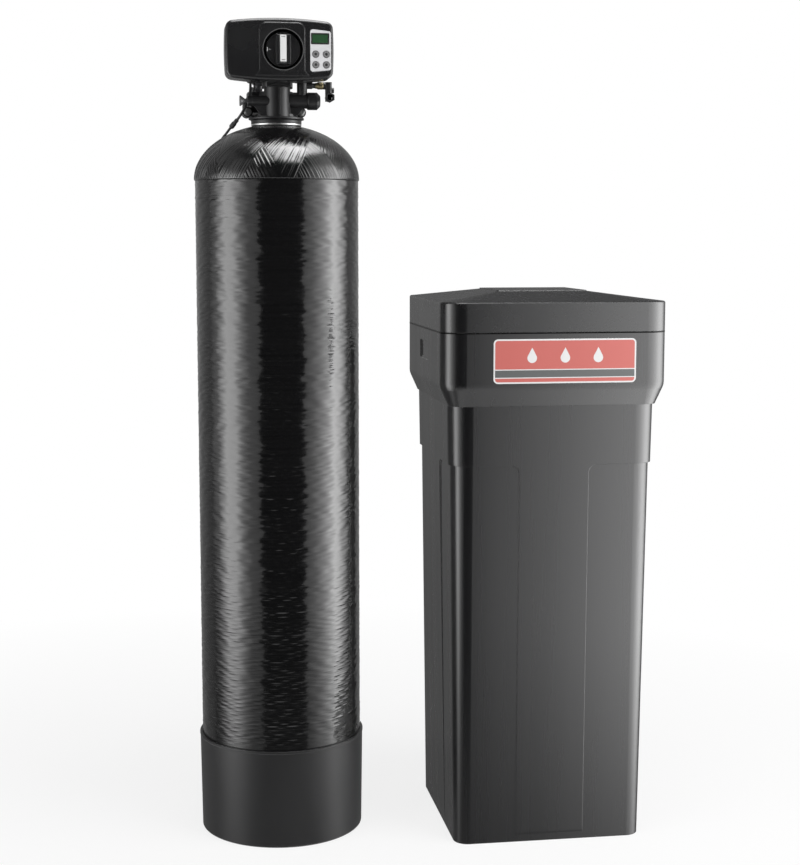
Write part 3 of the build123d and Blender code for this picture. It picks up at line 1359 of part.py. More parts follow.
with BuildPart() as float_rod:
    with Locations((well_x + 6, well_y + 4, brine_wall + 20)):
        Cylinder(2, 470, align=from_base)
    with Locations((well_x + 6, well_y + 4, 360)):
        Cylinder(15, 60, align=from_base)
    fillet(float_rod.edges().filter_by(GeomType.CIRCLE).group_by(SortBy.RADIUS)[-1], 3)
    with Locations((well_x + 6, well_y + 4, 352), (well_x + 6, well_y + 4, 420)):
        Cylinder(5, 8, align=from_base)
float_rod.part.label = "float_rod"
export_step(float_rod.part, "parts/float_rod.step")

# Overflow elbow through the tank's back wall, with its flange outside and its nut inside
overflow_wall_y = (
    brine_centre_y + brine_floor_size / 2
    + overflow_z * (brine_neck_size - brine_floor_size) / 2 / brine_neck_z
)
with BuildPart() as overflow_elbow:
    with Locations((brine_centre_x, overflow_wall_y + 1, overflow_z)):
        Cylinder(17, 4, rotation=toward_back, align=from_base)
        Cylinder(overflow_hole - 0.3, 18, rotation=toward_front, align=from_base)
        Cylinder(10.5, 14, rotation=toward_back, align=from_base)
    with Locations((brine_centre_x, overflow_wall_y + 15, overflow_z)):
        Sphere(10.5)
        Cylinder(10.5, 12, align=from_top)
        Cylinder(8, 36, align=from_top)
        Cylinder(6, 36, align=from_top, mode=Mode.SUBTRACT)
        Cylinder(6, 40, rotation=toward_front, align=from_base, mode=Mode.SUBTRACT)
overflow_elbow.part.label = "overflow_elbow"
export_step(overflow_elbow.part, "parts/overflow_elbow.step")
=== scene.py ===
import math

import bpy
import numpy as np
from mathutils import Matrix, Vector


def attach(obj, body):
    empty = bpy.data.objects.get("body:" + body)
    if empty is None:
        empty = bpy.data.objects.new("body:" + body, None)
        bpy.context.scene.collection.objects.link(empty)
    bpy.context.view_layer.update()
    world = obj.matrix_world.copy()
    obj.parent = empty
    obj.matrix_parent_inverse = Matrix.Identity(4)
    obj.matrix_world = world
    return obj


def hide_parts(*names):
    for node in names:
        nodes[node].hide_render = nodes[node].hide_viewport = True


# Looks of a two-tank water softener. Metres, in the CAD frame: resin tank's base at the origin, front to -Y.
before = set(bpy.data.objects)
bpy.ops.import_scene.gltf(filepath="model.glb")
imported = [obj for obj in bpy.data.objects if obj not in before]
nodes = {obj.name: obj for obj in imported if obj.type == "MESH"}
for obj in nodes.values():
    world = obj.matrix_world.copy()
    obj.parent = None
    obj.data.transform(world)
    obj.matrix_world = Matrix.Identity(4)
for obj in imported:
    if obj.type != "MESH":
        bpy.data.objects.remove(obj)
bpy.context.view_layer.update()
mm = 0.001
print("stage: frame loaded,", len(nodes), "nodes")

cameraView = {
    "place": (-0.211, -2.621, 0.961),
    "turnRight": 8.85,  # degrees from straight ahead
    "tiltDown": 6.86,
    "lens": 68.26,
    "sensor": 36.0,
}


def makeCamera(view):
    data = bpy.data.cameras.new("camera")
    data.lens, data.sensor_width = view["lens"], view["sensor"]
    data.clip_start, data.clip_end = 0.05, 60
    camera = bpy.data.objects.new("camera", data)
    bpy.context.scene.collection.objects.link(camera)
    camera.location = view["place"]
    camera.rotation_euler = (math.radians(90 - view["tiltDown"]), 0, math.radians(-view["turnRight"]))
    bpy.context.scene.camera = camera


makeCamera(cameraView)
print("stage: camera made")


# Shader node groups, each built once. Their noise sizes are per metre.
bevelSamples = 4
grainNoise = {"detail": 4, "slowDetail": 5, "roughness": 0.6}
wearNoise = {"size": 160, "detail": 4, "strength": 6.0}
dustNoise = {"size": 40, "detail": 6, "steepness": 3.0}
noiseRange = (0.3, 0.7)  # where most values of a noise lie


def newGroup(name, inputs, outputs):
    tree = bpy.data.node_groups.new(name, "ShaderNodeTree")
    for label, kind, value in inputs:
        socket = tree.interface.new_socket(name=label, in_out="INPUT", socket_type=kind)
        socket.default_value = value
    for label, kind in outputs:
        tree.interface.new_socket(name=label, in_out="OUTPUT", socket_type=kind)
    return tree, tree.nodes.new("NodeGroupInput"), tree.nodes.new("NodeGroupOutput")


def addNode(tree, kind, **sockets):
    node = tree.nodes.new(kind)
    for label, value in sockets.items():
        node.inputs[label.replace("_", " ")].default_value = value
    return node


def addMath(tree, operation, first, second=None, clamp=False):
    node = tree.nodes.new("ShaderNodeMath")
    node.operation, node.use_clamp = operation, clamp
    for place, value in enumerate((first, second)):
        if value is None:
            continue
        if isinstance(value, (int, float)):
            node.inputs[place].default_value = value
        else:
            tree.links.new(value, node.inputs[place])
    return node.outputs[0]


def stretchedPoint(tree, stretch):
    point = tree.nodes.new("ShaderNodeTexCoord")
    scaled = tree.nodes.new("ShaderNodeVectorMath")
    scaled.operation = "MULTIPLY"
    tree.links.new(point.outputs["Object"], scaled.inputs[0])
    tree.links.new(stretch, scaled.inputs[1])
    return scaled.outputs[0]


# Fine texture of a surface with softened edges: its normal, and a slow value for colour and gloss
def grainGroup():
    tree, entry, leave = newGroup(
        "surfaceGrain",
        [
            ("Stretch", "NodeSocketVector", (1, 1, 1)), ("Size", "NodeSocketFloat", 900),
            ("Depth", "NodeSocketFloat", 0.00005), ("Edge", "NodeSocketFloat", 0.0006),
            ("Patch Size", "NodeSocketFloat", 12),
        ],
        [("Normal", "NodeSocketVector"), ("Shade", "NodeSocketFloat")],
    )
    point = stretchedPoint(tree, entry.outputs["Stretch"])
    rough = grainNoise["roughness"]
    fine = addNode(tree, "ShaderNodeTexNoise", Detail=grainNoise["detail"], Roughness=rough)
    slow = addNode(tree, "ShaderNodeTexNoise", Detail=grainNoise["slowDetail"], Roughness=rough)
    for noise, size in ((fine, "Size"), (slow, "Patch Size")):
        tree.links.new(point, noise.inputs["Vector"])
        tree.links.new(entry.outputs[size], noise.inputs["Scale"])
    rounded = tree.nodes.new("ShaderNodeBevel")
    rounded.samples = bevelSamples
    tree.links.new(entry.outputs["Edge"], rounded.inputs["Radius"])
    bump = tree.nodes.new("ShaderNodeBump")
    tree.links.new(fine.outputs[0], bump.inputs["Height"])
    tree.links.new(entry.outputs["Depth"], bump.inputs["Distance"])
    tree.links.new(rounded.outputs[0], bump.inputs["Normal"])
    tree.links.new(bump.outputs[0], leave.inputs["Normal"])
    tree.links.new(slow.outputs[0], leave.inputs["Shade"])
    return tree


# Mask of outer edges that are rubbed paler, broken up by noise
def wearGroup():
    tree, entry, leave = newGroup(
        "edgeWear",
        [("Width", "NodeSocketFloat", 0.001), ("Amount", "NodeSocketFloat", 1)],
        [("Mask", "NodeSocketFloat")],
    )
    rounded = tree.nodes.new("ShaderNodeBevel")
    rounded.samples = bevelSamples
    tree.links.new(entry.outputs["Width"], rounded.inputs["Radius"])
    plain = tree.nodes.new("ShaderNodeNewGeometry")
    turn = tree.nodes.new("ShaderNodeVectorMath")
    turn.operation = "DOT_PRODUCT"
    tree.links.new(rounded.outputs[0], turn.inputs[0])
    tree.links.new(plain.outputs["Normal"], turn.inputs[1])
    bent = addMath(tree, "SUBTRACT", 1.0, turn.outputs["Value"])
    broken = addNode(tree, "ShaderNodeTexNoise", Scale=wearNoise["size"], Detail=wearNoise["detail"])
    point = tree.nodes.new("ShaderNodeTexCoord")
    tree.links.new(point.outputs["Object"], broken.inputs["Vector"])
    patchy = addMath(tree, "MULTIPLY", broken.outputs[0], wearNoise["strength"])
    strong = addMath(tree, "MULTIPLY", bent, patchy)
    mask = addMath(tree, "MULTIPLY", strong, entry.outputs["Amount"], clamp=True)
    tree.links.new(mask, leave.inputs["Mask"])
    return tree


# Thin dust on what faces up
def dustGroup():
    tree, entry, leave = newGroup(
        "settledDust", [("Amount", "NodeSocketFloat", 0.2)], [("Mask", "NodeSocketFloat")]
    )
    plain = tree.nodes.new("ShaderNodeNewGeometry")
    split = tree.nodes.new("ShaderNodeSeparateXYZ")
    tree.links.new(plain.outputs["Normal"], split.inputs[0])
    upward = addMath(tree, "POWER", addMath(tree, "MAXIMUM", split.outputs[2], 0.0), dustNoise["steepness"])
    patches = addNode(tree, "ShaderNodeTexNoise", Scale=dustNoise["size"], Detail=dustNoise["detail"])
    point = tree.nodes.new("ShaderNodeTexCoord")
    tree.links.new(point.outputs["Object"], patches.inputs["Vector"])
    mask = addMath(tree, "MULTIPLY", addMath(tree, "MULTIPLY", upward, patches.outputs[0]),
                   entry.outputs["Amount"], clamp=True)
    tree.links.new(mask, leave.inputs["Mask"])
    return tree


sharedGroups = {"grain": grainGroup(), "wear": wearGroup(), "dust": dustGroup()}


def placeGroup(tree, name, **sockets):
    node = tree.nodes.new("ShaderNodeGroup")
    node.node_tree = sharedGroups[name]
    for label, value in sockets.items():
        node.inputs[label.replace("_", " ")].default_value = value
    return node


def mixColours(tree, factor, first, second):
    mix = tree.nodes.new("ShaderNodeMix")
    mix.data_type = "RGBA"
    tree.links.new(factor, mix.inputs[0])
    for place, colour in ((6, first), (7, second)):
        if isinstance(colour, tuple):
            mix.inputs[place].default_value = (*colour, 1)
        else:
            tree.links.new(colour, mix.inputs[place])
    return mix.outputs[2]


# A value taken from one range to another, and held at its ends
def mapRange(tree, value, source, target):
    ramp = tree.nodes.new("ShaderNodeMapRange")
    tree.links.new(value, ramp.inputs["Value"])
    ramp.inputs["From Min"].default_value, ramp.inputs["From Max"].default_value = source
    ramp.inputs["To Min"].default_value, ramp.inputs["To Max"].default_value = target
    return ramp.outputs[0]


# One finish: two near colours, a range of gloss, grain, worn edges and dust. Missing values take these.
usualFinish = {
    "gloss": (0.32, 0.42), "metal": 0.0, "stretch": (1, 1, 1), "size": 1100, "depth": 0.00003, "edge": 0.0007,
    "patch": 14, "worn": (0.11, 0.11, 0.115), "wear": 0.35, "wearReach": 1.6, "dust": 0.08,
    "dusty": (0.32, 0.31, 0.3), "coat": 0.0, "coatGloss": 0.08, "specular": 0.5,
}
topFacing = (0.3, 0.95)  # how far up a face looks where a finish's topSpecular begins, and where it is full


def makeFinish(name, values):
    look = {**usualFinish, **values}
    material = bpy.data.materials.new(name)
    material.use_nodes = True
    tree = material.node_tree
    shader = tree.nodes["Principled BSDF"]
    grain = placeGroup(tree, "grain", Stretch=look["stretch"], Size=look["size"], Depth=look["depth"],
                       Edge=look["edge"], Patch_Size=look["patch"])
    wear = placeGroup(tree, "wear", Width=look["edge"] * look["wearReach"], Amount=look["wear"])
    dust = placeGroup(tree, "dust", Amount=look["dust"])
    shade = grain.outputs["Shade"]
    base = mixColours(tree, mapRange(tree, shade, noiseRange, (0, 1)), look["colour"], look["second"])
    rubbed = mixColours(tree, wear.outputs["Mask"], base, look["worn"])
    tree.links.new(mixColours(tree, dust.outputs["Mask"], rubbed, look["dusty"]), shader.inputs["Base Color"])
    tree.links.new(mapRange(tree, shade, noiseRange, look["gloss"]), shader.inputs["Roughness"])
    tree.links.new(grain.outputs["Normal"], shader.inputs["Normal"])
    shader.inputs["Metallic"].default_value = look["metal"]
    shader.inputs["Coat Weight"].default_value = look["coat"]
    shader.inputs["Coat Roughness"].default_value = look["coatGloss"]
    shader.inputs["Specular IOR Level"].default_value = look["specular"]
    if "topSpecular" in look:
        split = tree.nodes.new("ShaderNodeSeparateXYZ")
        tree.links.new(tree.nodes.new("ShaderNodeNewGeometry").outputs["Normal"], split.inputs[0])
        level = mapRange(tree, split.outputs[2], topFacing, (look["specular"], look["topSpecular"]))
        tree.links.new(level, shader.inputs["Specular IOR Level"])
    return material


# The finishes of the pieces that CAD made, each with the nodes that wear it
finishes = {
    "bootPlastic": {
        "colour": (0.013, 0.013, 0.0135), "second": (0.016, 0.016, 0.0165), "gloss": (0.34, 0.42),
        "stretch": (1, 1, 0.25), "size": 700, "dust": 0.01, "wear": 0.12, "nodes": ["base_boot"],
    },
    "neckMetal": {
        "colour": (0.045, 0.045, 0.046), "second": (0.06, 0.06, 0.061), "metal": 0.3, "gloss": (0.2, 0.32),
        "worn": (0.3, 0.3, 0.3), "nodes": ["tank_neck"],
    },
    "linerPlastic": {
        "colour": (0.62, 0.61, 0.57), "second": (0.7, 0.69, 0.65), "worn": (0.8, 0.8, 0.78),
        "nodes": ["tank_liner"],
    },
    "resinBeads": {
        "colour": (0.42, 0.19, 0.04), "second": (0.56, 0.29, 0.08), "size": 1500, "depth": 0.0005,
        "worn": (0.6, 0.35, 0.12), "nodes": ["resin_bed"],
    },
    "whitePlastic": {
        "colour": (0.68, 0.68, 0.66), "second": (0.76, 0.76, 0.74), "worn": (0.8, 0.8, 0.79),
        "depth": 0.00002,
        "nodes": ["riser_tube", "lower_basket", "upper_basket", "seal_spacers", "brine_well", "well_cap",
                  "salt_grid", "safety_valve", "meter_turbine", "float_rod", "injector_throat", "brine_stem"],
    },
    "valvePlastic": {
        "colour": (0.009, 0.009, 0.0095), "second": (0.014, 0.014, 0.0145), "gloss": (0.32, 0.46),
        "size": 1500, "depth": 0.00006, "stretch": (1, 1, 0.5), "wear": 0.2, "dust": 0.03,
        "nodes": ["valve_body", "tank_adapter", "end_plug", "brine_valve", "brine_elbow", "elbow_nut",
                  "blend_gland", "meter_body", "meter_cap", "pipe_ends", "overflow_elbow", "injector_cap"],
    },
    "drainGrey": {
        "colour": (0.1, 0.1, 0.105), "second": (0.14, 0.14, 0.145), "worn": (0.25, 0.25, 0.25),
        "nodes": ["drain_fitting"],
    },
    "screwSteel": {
        "colour": (0.6, 0.6, 0.6), "second": (0.74, 0.74, 0.73), "metal": 1.0, "gloss": (0.3, 0.4),
        "worn": (0.9, 0.9, 0.9), "nodes": ["lug_screws", "bracket_screws", "drive_motor"],
    },
    "turnedSteel": {
        "colour": (0.5, 0.5, 0.49), "second": (0.62, 0.62, 0.6), "metal": 1.0, "gloss": (0.18, 0.3),
        "stretch": (0.1, 0.1, 3), "worn": (0.8, 0.8, 0.8), "nodes": ["valve_piston", "piston_rod"],
    },
    "sealRubber": {
        "colour": (0.018, 0.018, 0.018), "second": (0.028, 0.028, 0.028), "gloss": (0.5, 0.65), "wear": 0.1,
        "nodes": ["rubber_seals", "cord_grommet", "inline_connector"],
    },
    "dullBrass": {
        "colour": (0.2, 0.17, 0.1), "second": (0.32, 0.27, 0.15), "metal": 0.9, "gloss": (0.26, 0.4),
        "worn": (0.6, 0.5, 0.28), "nodes": ["brass_fitting"],
    },
    "knobGrey": {
        "colour": (0.085, 0.085, 0.087), "second": (0.12, 0.12, 0.122), "worn": (0.25, 0.25, 0.25),
        "nodes": ["blend_knob"],
    },
    "coverPlastic": {
        "colour": (0.009, 0.009, 0.0095), "second": (0.012, 0.012, 0.0125), "gloss": (0.23, 0.3),
        "edge": 0.0018, "size": 2000, "depth": 0.00002, "wear": 0.12, "dust": 0.02,
        "nodes": ["front_cover", "rear_housing"],
    },
    "dialPlastic": {
        "colour": (0.007, 0.007, 0.0075), "second": (0.01, 0.01, 0.0105), "gloss": (0.28, 0.38),
        "edge": 0.0009, "wear": 0.15, "dust": 0.02, "nodes": ["dial_knob"],
    },
    "keypadFilm": {
        "colour": (0.53, 0.53, 0.54), "second": (0.58, 0.58, 0.59), "gloss": (0.3, 0.38), "patch": 60,
        "wear": 0.05, "worn": (0.8, 0.8, 0.8), "nodes": ["keypad_panel"],
    },
    "displayGreen": {
        "colour": (0.02, 0.058, 0.025), "second": (0.026, 0.072, 0.032), "gloss": (0.08, 0.12), "coat": 0.6,
        "wear": 0.0, "dust": 0.0, "nodes": ["display"],
    },
    "keyGrey": {
        "colour": (0.1, 0.1, 0.102), "second": (0.13, 0.13, 0.132), "worn": (0.3, 0.3, 0.3),
        "nodes": ["key_1", "key_2", "key_3", "key_4"],
    },
    "boardGreen": {
        "colour": (0.01, 0.09, 0.03), "second": (0.02, 0.13, 0.045), "size": 400, "nodes": ["circuit_board"],
    },
    "gearNylon": {
        "colour": (0.66, 0.64, 0.58), "second": (0.74, 0.72, 0.66), "worn": (0.8, 0.79, 0.75),
        "nodes": ["main_gear", "motor_pinion"],
    },
    "bracketPlastic": {
        "colour": (0.035, 0.035, 0.036), "second": (0.05, 0.05, 0.051), "nodes": ["drive_bracket"],
    },
    "cordRubber": {
        "colour": (0.012, 0.012, 0.012), "second": (0.018, 0.018, 0.018), "gloss": (0.36, 0.5), "wear": 0.0,
        "nodes": ["power_lead", "power_cord", "cord_coil", "meter_cable"],
    },
    "transformerCase": {
        "colour": (0.016, 0.016, 0.017), "second": (0.024, 0.024, 0.025), "gloss": (0.45, 0.6),
        "depth": 0.0001, "nodes": ["wall_transformer"],
    },
    "brinePlastic": {
        "colour": (0.004, 0.004, 0.0045), "second": (0.006, 0.006, 0.0065), "gloss": (0.25, 0.31),
        "stretch": (1, 1, 0.03), "size": 800, "depth": 0.00006, "edge": 0.0015, "patch": 26, "dust": 0.0,
        "wear": 0.0, "specular": 0.8, "nodes": ["brine_tank"],
    },
    "lidPlastic": {
        "colour": (0.004, 0.004, 0.0045), "second": (0.006, 0.006, 0.0065), "gloss": (0.25, 0.29),
        "depth": 0.000008, "edge": 0.0025, "patch": 26, "dust": 0.0, "wear": 0.0, "specular": 0.8,
        "topSpecular": 0.03, "nodes": ["brine_lid"],
    },
}

materials = {}
for finishName, finishValues in finishes.items():
    materials[finishName] = makeFinish(finishName, finishValues)
    for nodeName in finishValues["nodes"]:
        nodes[nodeName].material_slots[0].material = materials[finishName]
print("stage: finishes made,", len(materials))


def meshPiece(name, vertices, faces, material, body, smooth=True):
    mesh = bpy.data.meshes.new(name)
    mesh.from_pydata(vertices, [], faces)
    mesh.polygons.foreach_set("use_smooth", [smooth] * len(mesh.polygons))
    mesh.materials.append(material)
    piece = bpy.data.objects.new(name, mesh)
    bpy.context.scene.collection.objects.link(piece)
    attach(piece, body)
    return piece


# Free cords: their routes are the ones in the CAD source
leadRoute = [
    (-41, -15, 1196), (-41, -15, 1188), (-42.5, -14.6, 1177.5), (-46, -15, 1166.5), (-51.5, -14.5, 1155.5),
    (-58, -10.9, 1144.7), (-61.5, -5, 1140.5),
]
meterRoute = [
    (-35, -15, 1196), (-35, -15, 1190), (-35.5, -12.5, 1184.5), (-37, -5, 1184), (-38, 3, 1189),
    (-37.5, 14, 1191.5), (-35, 30, 1192.5), (-30, 46, 1192.8), (-27, 58, 1193), (-27, 66, 1193),
]


# A point from its distance to the resin tank's axis, its bearing and its height
def behindTank(distance, bearing, height):
    angle = math.radians(bearing)
    return (distance * math.cos(angle), distance * math.sin(angle), height)


coil = {"x": 10, "y": 185, "outer": 28.5, "pitch": 4.6, "floor": 2.2, "rise": 4.6, "turnsIn": 2.25,
        "turnsOut": 2.0, "climbStart": 2.0, "climbTurns": 0.5, "perTurn": 16, "straightEnd": 20}


def coilRoute(shape):
    points = []
    allTurns = shape["turnsIn"] + shape["turnsOut"]
    steps = round(allTurns * shape["perTurn"])
    for step in range(steps + 1):
        turn = allTurns * step / steps
        inward, outward = min(turn, shape["turnsIn"]), max(turn - shape["turnsIn"], 0)
        climbed = min(max((turn - shape["climbStart"]) / shape["climbTurns"], 0), 1)
        radius = shape["outer"] - shape["pitch"] * (inward - outward)
        height = shape["floor"] + shape["rise"] * (1 - math.cos(math.pi * climbed)) / 2
        angle = math.pi - 2 * math.pi * turn
        points.append((shape["x"] + radius * math.cos(angle), shape["y"] + radius * math.sin(angle), height))
    lastX, lastY, lastZ = points[-1]
    return points + [(lastX + shape["straightEnd"] * share, lastY, lastZ) for share in (0.5, 1)]


powerRoute = [
    (-71, 11, 1129.1), (-74.9, 17.6, 1124.4), behindTank(83, 159, 1120.5), behindTank(94, 152, 1114.5),
    behindTank(107, 144, 1104), behindTank(121, 136, 1087), behindTank(131, 129.5, 1063),
    behindTank(135.5, 124.5, 1035), behindTank(136.5, 120.5, 990), behindTank(137, 118, 938),
    behindTank(137, 116.3, 884), behindTank(137, 114.4, 829), behindTank(137.2, 112.9, 774),
    behindTank(137, 111.1, 718), behindTank(137, 109.6, 662), behindTank(137.2, 107.8, 606),
    behindTank(137, 106.4, 550), behindTank(137, 104.7, 494), behindTank(137.2, 103.2, 438),
    behindTank(137.2, 101.6, 382), behindTank(137.6, 100.3, 326), behindTank(138, 98.9, 270),
    behindTank(138.4, 97.9, 214), behindTank(138.8, 96.8, 160), behindTank(139, 96.1, 110),
    behindTank(139.4, 95.6, 66), (-14, 140.5, 34), (-15, 147, 13), (-15.8, 158, 4), (-18.5, 170, 2.2),
    (-18.5, 181, 2.2),
] + coilRoute(coil)


cordMesh = {"alongSteps": 8, "roundSteps": 4, "smoothing": 3}


def cordPiece(name, route, radius, replaced):
    curve = bpy.data.curves.new(name, "CURVE")
    curve.dimensions = "3D"
    spline = curve.splines.new("NURBS")
    spline.points.add(len(route) - 1)
    for point, place in zip(spline.points, route):
        point.co = (*[value * mm for value in place], 1)
    spline.order_u = cordMesh["smoothing"]
    spline.use_endpoint_u = True
    spline.resolution_u = cordMesh["alongSteps"]
    curve.bevel_depth = radius * mm
    curve.bevel_resolution = cordMesh["roundSteps"]
    curve.use_fill_caps = True
    curve.materials.append(materials["cordRubber"])
    piece = bpy.data.objects.new(name, curve)
    bpy.context.scene.collection.objects.link(piece)
    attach(piece, "root")
    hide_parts(*replaced)
    return piece


leadPiece = cordPiece("powerLead", leadRoute, 2, ["power_lead"])
powerPiece = cordPiece("powerCord", powerRoute, 2, ["power_cord", "cord_coil"])
meterPiece = cordPiece("meterCable", meterRoute, 1.5, ["meter_cable"])
print("stage: cords laid")

# Wound tank: hoop strands on the side, crossing tapes on the dome. Waves are counted round the tank, and
# their rises are in mm. The relief sinks a little, so that the tank keeps its size.
hoops = {
    "radius": 128.5, "wall": 3.5, "bottom": 5, "rise": 60, "reliefFrom": 158, "top": 1045.5, "ring": 0.95,
    "segments": 240, "pitch": 3.3, "strand": 0.12, "uneven": 0.07, "bulge": 0.16, "waver": 0.24, "lap": 0.26,
    "seed": 7, "spare": 4, "lapShare": 0.05, "slowWaves": 16, "slowRound": (6, 27), "slowRise": (24, 80),
    "strandWaves": 2, "strandRound": (20, 31), "fadeIn": 12, "sink": 0.1,
    "bowlRows": 16, "bowlStart": 0.02, "bootRows": (95, 125), "reliefStart": 8, "innerRows": (700, 300),
}
dome = {
    "seam": 1047, "radius": 130, "rise": 87, "wall": 3.5, "neck": 38.6, "rings": 130, "segments": 1184,
    "tapes": 148, "tape": 0.55, "uneven": 0.2, "widths": (0.45, 1.7), "slip": 1.7, "tangentRadius": 36,
    "seed": 11, "rampShare": 0.86, "leastGap": 20, "zonesUp": 4, "zonesDown": 5, "zoneTurn": 0.9,
    "zoneEdge": 0.03, "step": 1.5, "fadeSeam": 3, "fadeNeck": 7, "sink": 0.15, "innerRows": 14,
    "alongScale": 4, "alongShift": 7,
}


def smoothStep(values, low, high):
    share = np.clip((values - low) / (high - low), 0, 1)
    return share * share * (3 - 2 * share)


def hoopRelief(shape, heights, angles):
    random = np.random.default_rng(shape["seed"])
    strands = int(shape["top"] / shape["pitch"]) + shape["spare"]
    level = random.uniform(-1, 1, strands)
    laps = (random.uniform(0, 1, strands) < shape["lapShare"]) * 1.0
    place = heights[:, None] / shape["pitch"] - angles[None, :] / (2 * math.pi) + 1
    number = np.floor(place).astype(int) % strands
    within = place - np.floor(place)
    relief = shape["strand"] * np.sqrt(np.abs(np.sin(math.pi * within)))
    relief += shape["uneven"] * level[number] + shape["lap"] * laps[number] * (1 - within)
    for _ in range(shape["slowWaves"]):
        around, wave = random.integers(*shape["slowRound"]), random.uniform(*shape["slowRise"])
        turned, raised = random.uniform(0, 2 * math.pi, 2)
        slow = np.sin(around * angles[None, :] + turned)
        slow = slow * np.sin(2 * math.pi * heights[:, None] / wave + raised)
        relief += shape["bulge"] / 3 * random.uniform(0.25, 1) * slow
    for _ in range(shape["strandWaves"]):
        around = random.integers(*shape["strandRound"], strands)
        turned = random.uniform(0, 2 * math.pi, strands)
        wavy = np.sin(around[number] * angles[None, :] + turned[number])
        relief += shape["waver"] / shape["strandWaves"] * wavy
    shown = smoothStep(heights, shape["reliefFrom"], shape["reliefFrom"] + shape["fadeIn"])
    return relief * shown[:, None] - shape["sink"]


def gridFaces(rows, columns, closedRows):
    faces = []
    for row in range(rows if closedRows else rows - 1):
        here, there = row * columns, (row + 1) % rows * columns
        for column in range(columns):
            beside = (column + 1) % columns
            faces.append((here + column, here + beside, there + beside, there + column))
    return faces


def turnedPoints(radii, heights, angles):
    x = radii * np.cos(angles)[None, :] * mm
    y = radii * np.sin(angles)[None, :] * mm
    z = np.broadcast_to(heights[:, None] * mm, x.shape)
    return np.stack([x, y, z], axis=-1).reshape(-1, 3).tolist()


def buildHoopSide(shape, material):
    angles = np.arange(shape["segments"]) / shape["segments"] * 2 * math.pi
    bowl = np.linspace(shape["bowlStart"], math.pi / 2, shape["bowlRows"])
    bowlZ = shape["bottom"] + shape["rise"] * (1 - np.cos(bowl))
    denseZ = np.arange(shape["reliefFrom"] - shape["reliefStart"], shape["top"], shape["ring"])
    outerZ = np.concatenate([bowlZ, shape["bootRows"], denseZ, [shape["top"]]])
    straightSide = np.full(len(outerZ) - len(bowl), shape["radius"])
    outerR = np.concatenate([shape["radius"] * np.sin(bowl), straightSide])
    outer = outerR[:, None] + hoopRelief(shape, outerZ, angles)
    innerSide = shape["radius"] - shape["wall"]
    innerZ = np.concatenate([[shape["top"]], shape["innerRows"], bowlZ[::-1] + shape["wall"]])
    innerR = np.concatenate([np.full(1 + len(shape["innerRows"]), innerSide), innerSide * np.sin(bowl[::-1])])
    radii = np.vstack([outer, np.repeat(innerR[:, None], len(angles), axis=1)])
    heights = np.concatenate([outerZ, innerZ])
    faces = gridFaces(len(heights), len(angles), False)
    first = tuple(reversed(range(len(angles))))
    last = tuple(range((len(heights) - 1) * len(angles), len(heights) * len(angles)))
    return meshPiece("woundSide", turnedPoints(radii, heights, angles), faces + [first, last], material,
                     "root")


# How far a tape turns round the axis on its way up, at each ring of the dome
def tapeTurn(shape, radii, heights):
    steps = np.hypot(np.diff(radii), np.diff(heights))
    middle = (radii[1:] + radii[:-1]) / 2
    gap = np.sqrt(np.maximum(middle ** 2 - shape["tangentRadius"] ** 2, shape["leastGap"]))
    return np.concatenate([[0], shape["slip"] * np.cumsum(shape["tangentRadius"] / middle / gap * steps)])


def tapeRelief(shape, phase, level, widths):
    edges = np.concatenate([[0], np.cumsum(widths) * shape["tapes"] / widths.sum()])
    place = np.interp(phase % shape["tapes"], edges, np.arange(len(edges)))
    number = np.floor(place).astype(int) % shape["tapes"]
    within = place - np.floor(place)
    rising = shape["rampShare"]
    ramp = np.where(within < rising, within / rising, (1 - within) / (1 - rising))
    return shape["tape"] * (ramp - 0.5) + shape["uneven"] * level[number]


def buildDome(shape, material):
    angles = np.arange(shape["segments"]) / shape["segments"] * 2 * math.pi
    last = math.acos(shape["neck"] / shape["radius"])
    climb = np.linspace(0, last, shape["rings"])
    outerR = np.concatenate([[hoops["radius"]], shape["radius"] * np.cos(climb)])
    outerZ = np.concatenate([[shape["seam"] - shape["step"]], shape["seam"] + shape["rise"] * np.sin(climb)])
    turn = tapeTurn(shape, outerR, outerZ)
    perRadian = shape["tapes"] / (2 * math.pi)
    rising = (angles[None, :] + turn[:, None]) * perRadian
    falling = (angles[None, :] - turn[:, None]) * perRadian + shape["tapes"]
    random = np.random.default_rng(shape["seed"])
    levels = random.uniform(-1, 1, (2, shape["tapes"]))
    zone = np.sin(shape["zonesUp"] * (angles[None, :] + turn[:, None]))
    zone = zone * np.sin(shape["zonesDown"] * (angles[None, :] - turn[:, None]) + shape["zoneTurn"])
    top = smoothStep(zone, -shape["zoneEdge"], shape["zoneEdge"])
    widths = random.uniform(*shape["widths"], (2, shape["tapes"]))
    relief = top * tapeRelief(shape, rising, levels[0], widths[0])
    relief += (1 - top) * tapeRelief(shape, falling, levels[1], widths[1])
    fade = smoothStep(outerZ, shape["seam"] - shape["step"], shape["seam"] + shape["fadeSeam"])
    fade = fade * smoothStep(outerR, shape["neck"], shape["neck"] + shape["fadeNeck"])
    outer = outerR[:, None] + (relief - shape["sink"]) * fade[:, None]
    innerSide = shape["radius"] - shape["wall"]
    innerClimb = np.linspace(math.acos(shape["neck"] / innerSide), 0, shape["innerRows"])
    innerR = innerSide * np.cos(innerClimb)
    innerZ = shape["seam"] + (shape["rise"] - shape["wall"]) * np.sin(innerClimb)
    radii = np.vstack([outer, np.repeat(innerR[:, None], len(angles), axis=1)])
    heights = np.concatenate([outerZ, innerZ])
    piece = meshPiece("woundDome", turnedPoints(radii, heights, angles),
                      gridFaces(len(heights), len(angles), True), material, "root")
    strandMap(piece.data, shape, len(outerZ), turn, top, perRadian)
    return piece


